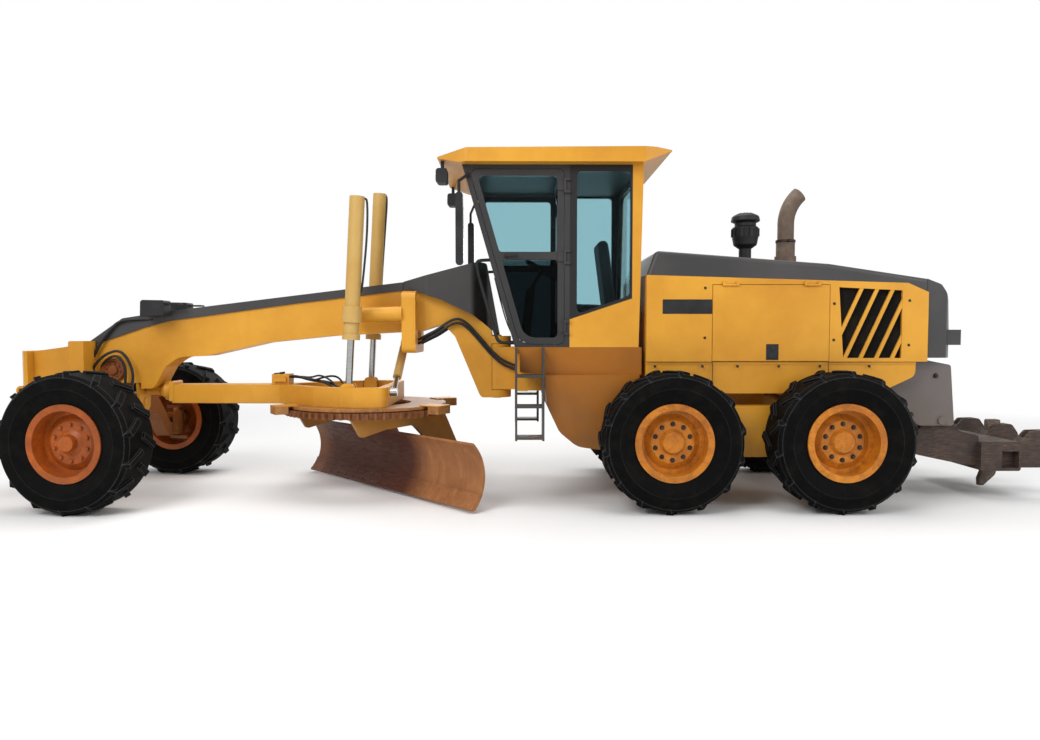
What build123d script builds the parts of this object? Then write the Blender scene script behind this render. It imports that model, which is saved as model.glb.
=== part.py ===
"""Motor grader with an articulated frame, a tandem drive at the rear and a leaning front axle.

Millimetres. X points ahead, Y to the machine's left and Z up. Everything is laid out in stations
measured ahead of the tandem axle's centre, with Z = 0 on the ground. The finished pieces are then
moved so that the origin lies on the ground under the middle of the machine's length.
"""
import os
from math import atan2, cos, radians, sin, sqrt

from build123d import *

# Gaps between neighbouring pieces
RUNNING = 0.3          # round pin in its bore, or glass in its frame
SIDE_GAP = 5.0         # between flat faces that pass each other
PANEL_GAP = 5.0        # round a door or a lid

# Stations along the machine, ahead of the tandem axle's centre
WHEELBASE = 6280.0
TANDEM_PITCH = 1572.0
HINGE_X = 2430.0       # upright pin between the front and the rear frame
CIRCLE_X = 3800.0      # turning centre of the circle
BALL_BEHIND = 340.0    # ball at the drawbar's front end, behind the front axle
NOSE_AHEAD = 310.0     # joint of the frame and the counterweight, ahead of the front axle
FRONT_OVERHANG = 1070.0
BALL_X = WHEELBASE - BALL_BEHIND
NOSE_X = WHEELBASE + NOSE_AHEAD
FRONT_END = WHEELBASE + FRONT_OVERHANG
REAR_END = -3140.0
MIDDLE_X = (FRONT_END + REAR_END) / 2

# Wheels
TYRE_RADIUS = 660.0
TYRE_WIDTH = 445.0
TYRE_BULGE_RADIUS = 500.0
LUG_HEIGHT = 26.0
LUG_WIDTH = 58.0
LUG_SKEW = 34.0        # degrees between a lug and the wheel's axle
LUGS_A_SIDE = 14
RIM_SEAT_RADIUS = 318.0
RIM_FLANGE_RADIUS = 362.0
RIM_FLANGE = 14.0
RIM_WIDTH = 380.0
RIM_WALL = 16.0
RIM_DISC = 20.0
RIM_DISH = 62.0        # disc's inner face outside the wheel's middle plane
SPINDLE_RADIUS = 60.0
HUB_RADIUS = 120.0
HALF_GAUGE = 1037.5    # middle plane of every wheel from the machine's middle
HUB_Z = TYRE_RADIUS

# Front axle, leaning yokes and knuckles
AXLE_DEPTH = 150.0     # along X
AXLE_PIVOT_Z = 940.0
AXLE_PIN_RADIUS = 45.0
LEAN_Y = 735.0
LEAN_Z = 560.0
LEAN_PIN_RADIUS = 30.0
LEAN_BOSS_RADIUS = 72.0
LEAN_BAR_Z = 760.0
LEAN_BAR_RADIUS = 26.0
LEAN_BAR_EYE = 34.0
LEAN_BAR_EYE_RADIUS = 36.0
LEAN_BAR_PIN = 18.0
YOKE_CHEEK = 34.0
KINGPIN_Y = 887.0
KINGPIN_RADIUS = 35.0
KINGPIN_BOSS_RADIUS = 60.0
KINGPIN_BOSS_HEIGHT = 250.0
KNUCKLE_PLATE = 32.0
STEERING_ARM = 170.0
STEERING_ARM_IN = 75.0
STEERING_AT_REST = -6.0  # degrees: both front wheels stand a little to the right

# Front frame
BEAM_HALF = 150.0
COVER_HALF = 165.0
COVER_AHEAD = 145.0     # the hose cover's front end, ahead of the nose joint
COVER_FOOT = 1470.0
LUG_PLATE_RADIUS = 150.0
HINGE_PIN_RADIUS = 50.0
UPPER_LUG_Z = 1560.0   # underside of the front frame's upper hinge plate
LOWER_LUG_Z = 1075.0   # top of the front frame's lower hinge plate
HINGE_PLATE = 80.0
TOW_RADIUS = 24.0
HINGE_SWEEP = 8.0      # between the rear frame's drum and the front frame round it

# Drawbar, circle and blade
BALL_Z = 1060.0
BALL_RADIUS = 75.0
DECK_RADIUS = 820.0
DECK_Z = 905.0
DECK_PLATE = 28.0
DECK_HOLE = 430.0
TONGUE_TOP = 1130.0
CIRCLE_TOOTH_RADIUS = 860.0
CIRCLE_ROOT_RADIUS = 826.0
CIRCLE_BORE = 640.0
CIRCLE_PLATE = 62.0
CIRCLE_TEETH = 64
WEAR_RING = 10.0
CIRCLE_TURN = 43.5     # degrees that the blade stands round from straight across
BLADE_LENGTH = 3010.0
BLADE_CHORD = 610.0
BLADE_CURVE = 413.0
BLADE_PLATE = 24.0
BLADE_FOOT_Z = 30.0
BLADE_EDGE_X = -42.0   # cutting edge ahead of the circle's centre, square to the blade
BLADE_SHIFT_AT_REST = 150.0
BLADE_PIVOT_X = -358.0
BLADE_PIVOT_Z = 335.0
BLADE_ARM_Y = 520.0
BLADE_ARM = 45.0
RAIL_RADIUS = 26.0
RAIL_AHEAD = 100.0      # slide rails ahead of the blade's pivot

# Blade lift and side shift
LIFT_X = 3840.0
LIFT_Y = 580.0
LIFT_Z = 1850.0
LIFT_EYE_X = 3880.0
LIFT_EYE_Z = 1120.0
LIFT_BARREL_RADIUS = 75.0
LIFT_BARREL_FOOT = 250.0     # from the trunnion down to the gland
LIFT_BARREL_HEAD = 1150.0    # from the trunnion up to the left barrel's cap
LIFT_BARREL_HEAD_FAR = 1395.0  # the right barrel is clamped higher in its trunnion
LIFT_ROD_RADIUS = 35.0
LIFT_EYE_RADIUS = 48.0
LIFT_EAR_GAP = 39.0          # half the room between the drawbar's ears
LIFT_EAR = 22.0
SHIFT_X = 3452.0
SHIFT_TOP = (-300.0, 1560.0)     # across and up
SHIFT_EYE = (480.0, 1080.0)
SHIFT_BARREL = 655.0
SHIFT_ROD = 600.0
SHIFT_BARREL_RADIUS = 45.0
SHIFT_ROD_RADIUS = 26.0
SHIFT_EYE_HALF = 36.0
SHIFT_EYE_GAP = 2.0            # room for the eye's face as the drawbar swings
SHIFT_PIN_RADIUS = 20.0
SADDLE_FRONT = SHIFT_X - SHIFT_BARREL_RADIUS - 17
SADDLE_REAR = SADDLE_FRONT - 140
DRAWBAR_REAR = SHIFT_X + SHIFT_BARREL_RADIUS + 8
DRAWBAR_WALL = 85.0
SHOE_TURN = 31.0       # degrees of the circle's guide shoes from straight ahead

# Rear frame, drive and bodywork
RAIL_HALF = 400.0
RAIL_WIDTH = 70.0
RAIL_TOP = 1385.0
RAIL_FOOT = 1085.0
CASE_IN = 600.0
CASE_OUT = 800.0
CASE_RADIUS = 215.0
AXLE_TUBE_RADIUS = 200.0
BODY_HALF = 750.0
BODY_WALL = 26.0
BODY_FRONT = 970.0
BODY_REAR = -1760.0
BODY_FOOT = 1390.0
SEAM_FRONT_Z = 2225.0
SEAM_BEND_X = -1560.0
SEAM_BEND_Z = 2150.0
SEAM_REAR_Z = 2062.0
HOOD_REAR_Z = 2192.0
HOOD_SHOULDER = 40.0
LID_FRONT = 330.0
LID_REAR = -800.0
LID_HEAD = 2130.0
LID_HINGE_Y = BODY_HALF + 12
LID_HINGE_Z = 2128.0
LID_KNUCKLE = 100.0
GRILLE_FRONT = -890.0
GRILLE_REAR = -1505.0
SLAT_COUNT = 5
SLAT = 38.0
SLAT_LEAN = 330.0      # top behind the foot
COWL_REAR = -2075.0
COWL_FOOT = 1425.0
STACK_X = -635.0
STACK_RADIUS = 110.0
CLEANER_X = -205.0
CLEANER_RADIUS = 64.0

# Cab
CAB_HALF = 720.0
CAB_WALL = 50.0
CAB_FOOT = 1530.0
DECK_FOOT = 1470.0
CAB_HEAD = 3280.0
CAB_FRONT_FOOT = 2240.0
CAB_FRONT_HEAD = 2745.0
CAB_REAR_FOOT = 1040.0
CAB_REAR_HEAD = 1000.0
DOOR_REAR = 1765.0
DOOR_FOOT = 1560.0
DOOR_HEAD = 3235.0
DOOR_FRAME = 62.0
DOOR_RAIL_Z = 2410.0
DOOR_HINGES = (1720.0, 2400.0, 3080.0)
DOOR_HINGE_X = DOOR_REAR - 8
DOOR_HINGE_Y = CAB_HALF + 15
DOOR_KNUCKLE = 90.0
GLASS = 8.0

# Ripper
RIPPER_PLATE_Y = 590.0
RIPPER_PLATE = 25.0
RIPPER_PIVOT_X = -1990.0
RIPPER_PIVOT_Z = 800.0
RIPPER_SHAFT_RADIUS = 38.0
RIPPER_BEAM_FRONT = -2380.0
RIPPER_BEAM_REAR = -2780.0
RIPPER_BEAM_FOOT = 300.0
RIPPER_BEAM_TOP = 590.0
RIPPER_BEAM_HALF = 640.0
RIPPER_ARM_Y = 500.0
RIPPER_ARM = 60.0
HOLDER_PITCH = 560.0
HOLDER_HALF = 60.0
SHANK_HALF = 32.0
SHANK_FRONT = -2830.0
SHANK_REAR = -2965.0


def outline(points):
    """Closed outline of straight sides; a corner written (u, v, r) is rounded with radius r."""
    face = make_face(Polyline([(p[0], p[1]) for p in points], close=True))
    for p in points:
        if len(p) == 3:
            corner = face.vertices().sort_by_distance(Vector(p[0], p[1], 0))[0]
            face = fillet(corner, p[2])
    return face


def across(points, y_from, y_to):
    """A side outline of (x, z) points, carried across the machine."""
    return extrude(Plane.XZ.offset(-y_to) * outline(points), amount=y_to - y_from, dir=(0, -1, 0))


def along(points, x_from, x_to):
    """A front outline of (y, z) points, carried along the machine."""
    return extrude(Plane.YZ.offset(x_from) * outline(points), amount=x_to - x_from, dir=(1, 0, 0))


def upright(points, z_from, z_to):
    """A plan outline of (x, y) points, carried upward."""
    return extrude(Plane.XY.offset(z_from) * outline(points), amount=z_to - z_from, dir=(0, 0, 1))


def block(x_from, x_to, y_from, y_to, z_from, z_to):
    """A plain block between two corners."""
    corner = Pos(x_from, y_from, z_from)
    low = (Align.MIN, Align.MIN, Align.MIN)
    return corner * Box(x_to - x_from, y_to - y_from, z_to - z_from, align=low)


def rod(start, end, radius):
    """A round bar between two points."""
    a = Vector(*start)
    b = Vector(*end)
    lower = (Align.CENTER, Align.CENTER, Align.MIN)
    return Plane(origin=a, z_dir=b - a) * Cylinder(radius, (b - a).length, align=lower)


def pin_across(x, z, radius, y_from, y_to):
    """A round bar across the machine."""
    return rod((x, y_from, z), (x, y_to, z), radius)


def pair(part):
    """A piece of the left side and its mirror image on the right side."""
    return [part, mirror(part, about=Plane.XZ)]


def save(name, *pieces):
    """Write one sub-part, moved so that the origin lies under the middle of the machine."""
    solids = [Pos(-MIDDLE_X, 0, 0) * solid for piece in pieces for solid in piece.solids()]
    export_step(solids[0] if len(solids) == 1 else Compound(solids), f"parts/{name}.step")


def steered(part, side):
    """Turn a front wheel piece about its kingpin to the angle at which the machine stands."""
    pin_y = side * KINGPIN_Y
    turn = Pos(WHEELBASE, pin_y, 0) * Rot(0, 0, STEERING_AT_REST)
    return turn * Pos(-WHEELBASE, -pin_y, 0) * part


def tyre():
    """Tyre about the Y axis, with slanted lugs that meet in arrowheads round its tread."""
    half = TYRE_WIDTH / 2
    bead = RIM_WIDTH / 2 - RIM_FLANGE - RUNNING
    tread = TYRE_RADIUS - LUG_HEIGHT
    side = [
        (RIM_SEAT_RADIUS + RUNNING, bead),
        (RIM_FLANGE_RADIUS + RUNNING, bead),
        (TYRE_BULGE_RADIUS, half),
        (tread - 30, half - 8),
        (tread, half - 44),
    ]
    other = [(r, -y) for r, y in reversed(side)]
    carcass = revolve(outline(side + other), axis=Axis.Y)
    skew = radians(LUG_SKEW)
    inner_end = -6.0
    outer_end = half - 0.5
    reach = (outer_end - inner_end - LUG_WIDTH * sin(skew)) / cos(skew)
    root = tread - 34
    bar = along([(-reach / 2, root), (-reach / 2, TYRE_RADIUS + 5), (reach / 2 - 44, TYRE_RADIUS + 5),
                 (reach / 2, root)], -LUG_WIDTH / 2, LUG_WIDTH / 2)
    lug = Pos(0, (outer_end + inner_end) / 2, 0) * Rot(0, 0, LUG_SKEW) * bar
    lug &= pin_across(0, 0, TYRE_RADIUS, -TYRE_WIDTH, TYRE_WIDTH)
    lugs = []
    for i in range(LUGS_A_SIDE):
        angle = 360 / LUGS_A_SIDE * i
        lugs.append(Rot(0, angle, 0) * lug)
        lugs.append(Rot(0, angle + 180 / LUGS_A_SIDE, 0) * mirror(lug, about=Plane.XZ))
    return carcass + lugs


def rim(cap_radius, cap_length):
    """Wheel rim about the Y axis, dished to the outside, with its hub and cap."""
    half = RIM_WIDTH / 2
    inner = RIM_SEAT_RADIUS - RIM_WALL
    barrel = outline([
        (inner, -half), (RIM_FLANGE_RADIUS, -half), (RIM_FLANGE_RADIUS, -half + RIM_FLANGE),
        (RIM_SEAT_RADIUS, -half + RIM_FLANGE), (RIM_SEAT_RADIUS, half - RIM_FLANGE),
        (RIM_FLANGE_RADIUS, half - RIM_FLANGE), (RIM_FLANGE_RADIUS, half), (inner, half),
    ])
    bore = SPINDLE_RADIUS + RUNNING
    disc = outline([
        (bore, RIM_DISH), (190, RIM_DISH), (250, RIM_DISH - 40), (inner, RIM_DISH - 40),
        (inner, RIM_DISH - 40 + RIM_DISC), (258, RIM_DISH - 40 + RIM_DISC),
        (198, RIM_DISH + RIM_DISC), (HUB_RADIUS, RIM_DISH + RIM_DISC),
        (cap_radius + 12, RIM_DISH + RIM_DISC + 22), (cap_radius, RIM_DISH + RIM_DISC + cap_length),
        (0, RIM_DISH + RIM_DISC + cap_length), (0, RIM_DISH + RIM_DISC + 8),
        (bore, RIM_DISH + RIM_DISC + 8),
    ])
    return revolve(barrel, axis=Axis.Y) + revolve(disc, axis=Axis.Y)


def wheels():
    """Six wheels: two on the knuckles and four on the tandem cases."""
    rubber = tyre()
    front_rim = rim(70, 74)
    rear_rim = rim(95, 40)
    places = [
        ("front", WHEELBASE, front_rim),
        ("middle", TANDEM_PITCH / 2, rear_rim),
        ("rear", -TANDEM_PITCH / 2, rear_rim),
    ]
    for row, x, metal in places:
        for hand, side in (("left", 1), ("right", -1)):
            spot = Pos(x, side * HALF_GAUGE, HUB_Z)
            for kind, shape in (("tyre", rubber), ("rim", metal)):
                handed = shape if side == 1 else mirror(shape, about=Plane.XZ)
                piece = spot * handed
                if row == "front":
                    piece = steered(piece, side)
                save(f"{kind}_{row}_{hand}", piece)


def front_axle():
    """Arched axle beam with its pivot boss and the lean bosses at its ends."""
    half = AXLE_DEPTH / 2
    arch = [
        (-LEAN_Y, LEAN_Z - 66), (-600, LEAN_Z - 66, 60), (-330, 790, 90), (330, 790, 90),
        (600, LEAN_Z - 66, 60), (LEAN_Y, LEAN_Z - 66), (LEAN_Y, LEAN_Z + 66), (640, 650, 60),
        (400, 930, 90), (170, AXLE_PIVOT_Z + 95, 60), (-170, AXLE_PIVOT_Z + 95, 60),
        (-400, 930, 90), (-640, 650, 60), (-LEAN_Y, LEAN_Z + 66),
    ]
    beam = along(arch, WHEELBASE - half, WHEELBASE + half)
    for side in (1, -1):
        y = side * LEAN_Y
        ends = [(WHEELBASE - half, y, LEAN_Z), (WHEELBASE + half, y, LEAN_Z)]
        beam += rod(*ends, LEAN_BOSS_RADIUS)
        beam -= rod(*ends, LEAN_PIN_RADIUS + RUNNING)
    centre = [(WHEELBASE - half, 0, AXLE_PIVOT_Z), (WHEELBASE + half, 0, AXLE_PIVOT_Z)]
    beam -= rod(*centre, AXLE_PIN_RADIUS + RUNNING)
    save("front_axle", beam)


def lean_yoke():
    """Yoke of the left side: cheeks round the axle's end, kingpin boss and the lean bar's ear."""
    inside = AXLE_DEPTH / 2 + 2
    outside = inside + YOKE_CHEEK
    cheek = [
        (LEAN_Y - 62, LEAN_Z - 40, 30), (LEAN_Y + 40, LEAN_Z - 74, 30), (KINGPIN_Y, LEAN_Z - 30),
        (KINGPIN_Y, LEAN_Z + 190), (LEAN_Y + 60, LEAN_BAR_Z + 10, 30),
        (LEAN_Y + 36, LEAN_BAR_Z + 46, 30), (LEAN_Y - 36, LEAN_BAR_Z + 46, 34),
        (LEAN_Y - 42, LEAN_BAR_Z - 40, 20),
    ]
    yoke = along(cheek, -outside, -inside) + along(cheek, inside, outside)
    boss_foot = HUB_Z - KINGPIN_BOSS_HEIGHT / 2
    boss = Pos(0, KINGPIN_Y, boss_foot) * Cylinder(
        KINGPIN_BOSS_RADIUS, KINGPIN_BOSS_HEIGHT, align=(Align.CENTER, Align.CENTER, Align.MIN))
    web_in = LEAN_Y + LEAN_BOSS_RADIUS + 12
    web = block(-inside, inside, web_in, KINGPIN_Y - 10, boss_foot + 20, boss_foot + 230)
    head = block(-inside, inside, LEAN_Y - 36, LEAN_Y + 60, LEAN_BAR_Z - 60, LEAN_BAR_Z - 10)
    clear = block(-outside - 1, outside + 1, KINGPIN_Y - 30, KINGPIN_Y + 90, 0, 1000)
    yoke = yoke - clear + boss + web + head
    yoke += rod((-outside - 8, LEAN_Y, LEAN_Z), (outside + 8, LEAN_Y, LEAN_Z), LEAN_PIN_RADIUS)
    pin_end = outside + SIDE_GAP + LEAN_BAR_EYE + 8
    yoke += rod((outside - 4, LEAN_Y, LEAN_BAR_Z), (pin_end, LEAN_Y, LEAN_BAR_Z), LEAN_BAR_PIN)
    bore = Pos(0, KINGPIN_Y, HUB_Z) * Cylinder(KINGPIN_RADIUS + RUNNING, 2 * KINGPIN_BOSS_HEIGHT)
    return Pos(WHEELBASE, 0, 0) * (yoke - bore)


def knuckle():
    """Knuckle of the left side: fork round the yoke's boss, kingpin, spindle and steering arm."""
    boss_foot = HUB_Z - KINGPIN_BOSS_HEIGHT / 2 - SIDE_GAP
    boss_head = HUB_Z + KINGPIN_BOSS_HEIGHT / 2 + SIDE_GAP
    reach = KINGPIN_BOSS_RADIUS + 12
    back = KINGPIN_Y + reach
    tongue = [(-72, KINGPIN_Y), (72, KINGPIN_Y), (72, back), (-72, back)]
    fork = None
    for foot in (boss_foot - KNUCKLE_PLATE, boss_head):
        plate = upright(tongue, foot, foot + KNUCKLE_PLATE)
        round_end = Pos(0, KINGPIN_Y, foot) * Cylinder(
            72, KNUCKLE_PLATE, align=(Align.CENTER, Align.CENTER, Align.MIN))
        fork = plate + round_end if fork is None else fork + plate + round_end
    wall = block(-72, 72, back, back + 26, boss_foot - KNUCKLE_PLATE, boss_head + KNUCKLE_PLATE)
    pin = Pos(0, KINGPIN_Y, HUB_Z) * Cylinder(KINGPIN_RADIUS, boss_head - boss_foot + 2)
    stub = rod((0, back + 26, HUB_Z), (0, HALF_GAUGE + RIM_DISH - SIDE_GAP, HUB_Z), HUB_RADIUS - 30)
    spindle = rod((0, back, HUB_Z), (0, HALF_GAUGE + RIM_DISH + RIM_DISC, HUB_Z), SPINDLE_RADIUS)
    arm_head = LEAN_Z - 90
    arm = upright([(30, KINGPIN_Y - 46, 20), (30, KINGPIN_Y + 46, 20), (-60, KINGPIN_Y + 40, 30),
                   (-STEERING_ARM - 30, KINGPIN_Y - STEERING_ARM_IN + 30, 26),
                   (-STEERING_ARM - 30, KINGPIN_Y - STEERING_ARM_IN - 30, 26), (-60, KINGPIN_Y - 60, 30)],
                  arm_head - KNUCKLE_PLATE, arm_head)
    arm += Pos(0, KINGPIN_Y, (arm_head + boss_foot) / 2) * Cylinder(46, boss_foot - arm_head)
    return Pos(WHEELBASE, 0, 0) * (fork + wall + pin + stub + spindle + arm)


def steering():
    """Both yokes and knuckles, with the bar that leans the left side and the right side together."""
    left_yoke, right_yoke = pair(lean_yoke())
    save("lean_yoke_left", left_yoke)
    save("lean_yoke_right", right_yoke)
    left_knuckle, right_knuckle = pair(knuckle())
    save("knuckle_left", steered(left_knuckle, 1))
    save("knuckle_right", steered(right_knuckle, -1))

    # The bar runs close to the axle's face, so that a steered wheel passes it.
    face = WHEELBASE + AXLE_DEPTH / 2
    bar_x = face + SIDE_GAP + 3 + LEAN_BAR_RADIUS
    near = face + 2 + YOKE_CHEEK + SIDE_GAP
    far = near + LEAN_BAR_EYE
    bar_end = LEAN_Y - 66
    bar = rod((bar_x, -bar_end, LEAN_BAR_Z), (bar_x, bar_end, LEAN_BAR_Z), LEAN_BAR_RADIUS)
    for side in (1, -1):
        y = side * LEAN_Y
        low, high = sorted((side * (bar_end - 30), y))
        bar += block(near, bar_x + LEAN_BAR_RADIUS, low, high, LEAN_BAR_Z - 22, LEAN_BAR_Z + 22)
        bar += rod((near, y, LEAN_BAR_Z), (far, y, LEAN_BAR_Z), LEAN_BAR_EYE_RADIUS)
    for y in (LEAN_Y, -LEAN_Y):
        bar -= rod((near - 1, y, LEAN_BAR_Z), (far + 1, y, LEAN_BAR_Z), LEAN_BAR_PIN + RUNNING)
    save("lean_bar", bar)


def beam_x(share):
    """Station along the main beam, as a share of the way from the hinge to the front axle."""
    return HINGE_X + share * (WHEELBASE - HINGE_X)


def beam_top():
    """Bends of the beam's upper edge, from the front axle back to the gooseneck."""
    return [(beam_x(0.948), 1730, 300), (beam_x(0.875), 1800, 300), (beam_x(0.535), 1980),
            (beam_x(0.2312), 2120), (beam_x(0.1455), 2010, 200), (beam_x(0.0597), 1850, 120)]


def front_frame():
    """Main beam, nose and gooseneck as one welded box, with the hangers of the front axle."""
    foot = LOWER_LUG_Z - HINGE_PLATE
    head = UPPER_LUG_Z + HINGE_PLATE
    beam_side = [(NOSE_X, 1150), (NOSE_X, 1556)] + beam_top() + [
        (HINGE_X + 50, 1700, 60), (HINGE_X + 50, foot), (beam_x(0.043), foot, 60),
        (beam_x(0.112), 1630, 80), (beam_x(0.144), 1765, 140), (beam_x(0.205), 1690, 200),
        (beam_x(0.447), 1640, 400), (beam_x(0.626), 1570, 400), (BALL_X - 480, 1430, 300),
        (BALL_X - 200, 1420, 200), (BALL_X - 60, 1320, 100), (BALL_X + 50, 1120, 120),
        (BALL_X + 90, 1090), (BALL_X + 200, 1090), (BALL_X + 200, 1150),
    ]
    frame = across(beam_side, -BEAM_HALF, BEAM_HALF)
    for low, high in ((UPPER_LUG_Z, head), (foot, LOWER_LUG_Z)):
        frame += Pos(HINGE_X, 0, (low + high) / 2) * Cylinder(LUG_PLATE_RADIUS, high - low)
        frame += block(HINGE_X, HINGE_X + 150, -LUG_PLATE_RADIUS, LUG_PLATE_RADIUS, low, high)
    frame -= Pos(HINGE_X, 0, (LOWER_LUG_Z + UPPER_LUG_Z) / 2) * Cylinder(
        LUG_PLATE_RADIUS + HINGE_SWEEP, UPPER_LUG_Z - LOWER_LUG_Z)
    frame -= Pos(HINGE_X, 0, UPPER_LUG_Z) * Cylinder(HINGE_PIN_RADIUS + RUNNING, 3000)
    hanger_gap = AXLE_DEPTH / 2 + SIDE_GAP
    hanger = [(-135, 1150), (-100, AXLE_PIVOT_Z - 90, 60), (100, AXLE_PIVOT_Z - 90, 60), (135, 1150)]
    for x in (WHEELBASE - hanger_gap - 32, WHEELBASE + hanger_gap):
        frame += along(hanger, x, x + 32)
    frame += rod((WHEELBASE - hanger_gap - 44, 0, AXLE_PIVOT_Z),
                 (WHEELBASE + hanger_gap + 44, 0, AXLE_PIVOT_Z), AXLE_PIN_RADIUS)
    socket = rod((BALL_X, 0, BALL_Z), (BALL_X + 200, 0, BALL_Z), BALL_RADIUS - 30)
    frame += socket + Pos(BALL_X, 0, BALL_Z) * Sphere(BALL_RADIUS)
    save("front_frame", frame)
    return frame


def beam_cover(frame):
    """Dark hose cover on the beam's top and the hump where the hoses cross to the cab."""
    hump_front = beam_x(0.252)
    under = [(x, z - 2, *bend) for x, z, *bend in beam_top()[:3]]
    strip = [(NOSE_X + COVER_AHEAD, COVER_FOOT), (NOSE_X, COVER_FOOT), (NOSE_X, 1554)] + under + [
        (hump_front, 2108), (hump_front, 2196), (beam_x(0.535), 2062), (beam_x(0.875), 1900, 300),
        (beam_x(1.008), 1822, 60), (NOSE_X + COVER_AHEAD, 1524, 15),
    ]
    cover = across(strip, -COVER_HALF, COVER_HALF)
    hump_side = [
        (hump_front - 5, 2109), (beam_x(0.2312), 2118), (beam_x(0.1455), 2008, 200),
        (beam_x(0.0597), 1848, 120), (HINGE_X + 50, 1698), (HINGE_X - 30, 1662),
        (HINGE_X + 105, 2400, 20), (HINGE_X + 170, 2405, 60), (hump_front - 5, 2200),
    ]
    hump = across(hump_side, -280, 280)
    neck = HINGE_X + 106
    plan = upright([(hump_front - 5, -COVER_HALF), (hump_front - 5, COVER_HALF), (beam_x(0.187), 250, 150),
                    (beam_x(0.06), 275, 60), (neck, 55, 30), (HINGE_X - 31, 55), (HINGE_X - 31, -55),
                    (neck, -55, 30), (beam_x(0.06), -275, 60), (beam_x(0.187), -250, 150)], 1640, 2450)
    save("beam_cover", (cover + (hump & plan)) - frame)


def counterweight():
    """Push block at the nose: a front plate, side cheeks and the column behind them."""
    back = FRONT_END - 155
    side = [
        (NOSE_X, 1010), (NOSE_X, 1575), (NOSE_X + 170, 1580, 30), (NOSE_X + 210, 1530, 40),
        (back - 5, 1475, 60), (back + 5, 1010, 40),
    ]
    body = across(side, -300, 300)
    plate = upright([(back - 45, -400), (back - 45, 400), (back - 8, 400, 25), (FRONT_END, 170, 60),
                     (FRONT_END, -170, 60), (back - 8, -400, 25)], 1010, 1485)
    column = across([(NOSE_X, 1010), (NOSE_X, 1587), (NOSE_X + 153, 1587, 20), (NOSE_X + 153, 1010)],
                    -390, 390)
    room = COVER_HALF + SIDE_GAP
    hose_room = block(NOSE_X - 1, NOSE_X + COVER_AHEAD + SIDE_GAP, -room, room, COVER_FOOT, 1700)
    ends = [(FRONT_END - 60, -300, 1080), (FRONT_END - 60, 300, 1080)]
    tow = pin_across(FRONT_END - 60, 1080, TOW_RADIUS, -500, 500)
    save("counterweight", body + plate + column + rod(*ends, 2 * TOW_RADIUS) - hose_room - tow)


def headlamps():
    """Pair of lamp boxes that stand beside the hose cover, with their bracket."""
    rear = WHEELBASE - 485
    front = WHEELBASE - 250
    lamp = across([(rear, 1850), (rear, 2000, 15), (front, 2004, 30), (front + 6, 1832, 15)], 190, 350)
    lamp += block(rear - 140, rear + 5, 230, 310, 1960, 1976)
    lamp += block(rear + 60, rear + 160, -1, 195, 1900, 1925)
    foot = block(rear + 70, rear + 150, -60, 60, 1860, 1905)
    both = pair(lamp)
    save("headlamps", (both[0] + both[1] + foot) - beam_top_room())


def beam_top_room():
    """The space that the dark cover takes on top of the beam."""
    return across([(beam_x(1.04), 1500), (beam_x(1.008), 1822), (beam_x(0.875), 1900),
                   (beam_x(0.8), 1935), (beam_x(0.8), 1500)], -COVER_HALF - 1, COVER_HALF + 1)


def saddle():
    """Collar round the beam with an arm to each side that carries a lift cylinder."""
    collar = along([(-350, 1465, 60), (350, 1465, 60), (350, 2070, 60), (200, 2110, 60),
                    (-200, 2110, 60), (-350, 2070, 60)], SADDLE_REAR, SADDLE_FRONT)
    room = block(SADDLE_REAR - 50, SADDLE_FRONT + 110, -BEAM_HALF, BEAM_HALF, 1560, 2400)
    cover_room = block(SADDLE_REAR - 50, SADDLE_FRONT + 110, -240, 240, 1980, 2400)
    yoke = collar - room - cover_room
    for side in (1, -1):
        yoke += arm_tube(side)
    pin_end = SHIFT_X + SHIFT_EYE_HALF + 8
    pin = rod((SADDLE_FRONT - 60, *SHIFT_TOP), (pin_end, *SHIFT_TOP), SHIFT_PIN_RADIUS)
    save("saddle", yoke + pin)


def arm_tube(side):
    """One lift arm: forward along the beam, then out to the trunnion's boss."""
    y = side * 320
    tube = rod((SADDLE_FRONT - 5, y, LIFT_Z + 15), (LIFT_X, y, LIFT_Z), 75)
    elbow = Pos(LIFT_X, y, LIFT_Z) * Sphere(75)
    out = side * (LIFT_Y - LIFT_BARREL_RADIUS - 45)
    boss = rod((LIFT_X, y, LIFT_Z), (LIFT_X, out, LIFT_Z), 62)
    pin = rod((LIFT_X, out, LIFT_Z), (LIFT_X, side * (LIFT_Y - 40), LIFT_Z), 30)
    return tube + elbow + boss + pin


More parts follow.
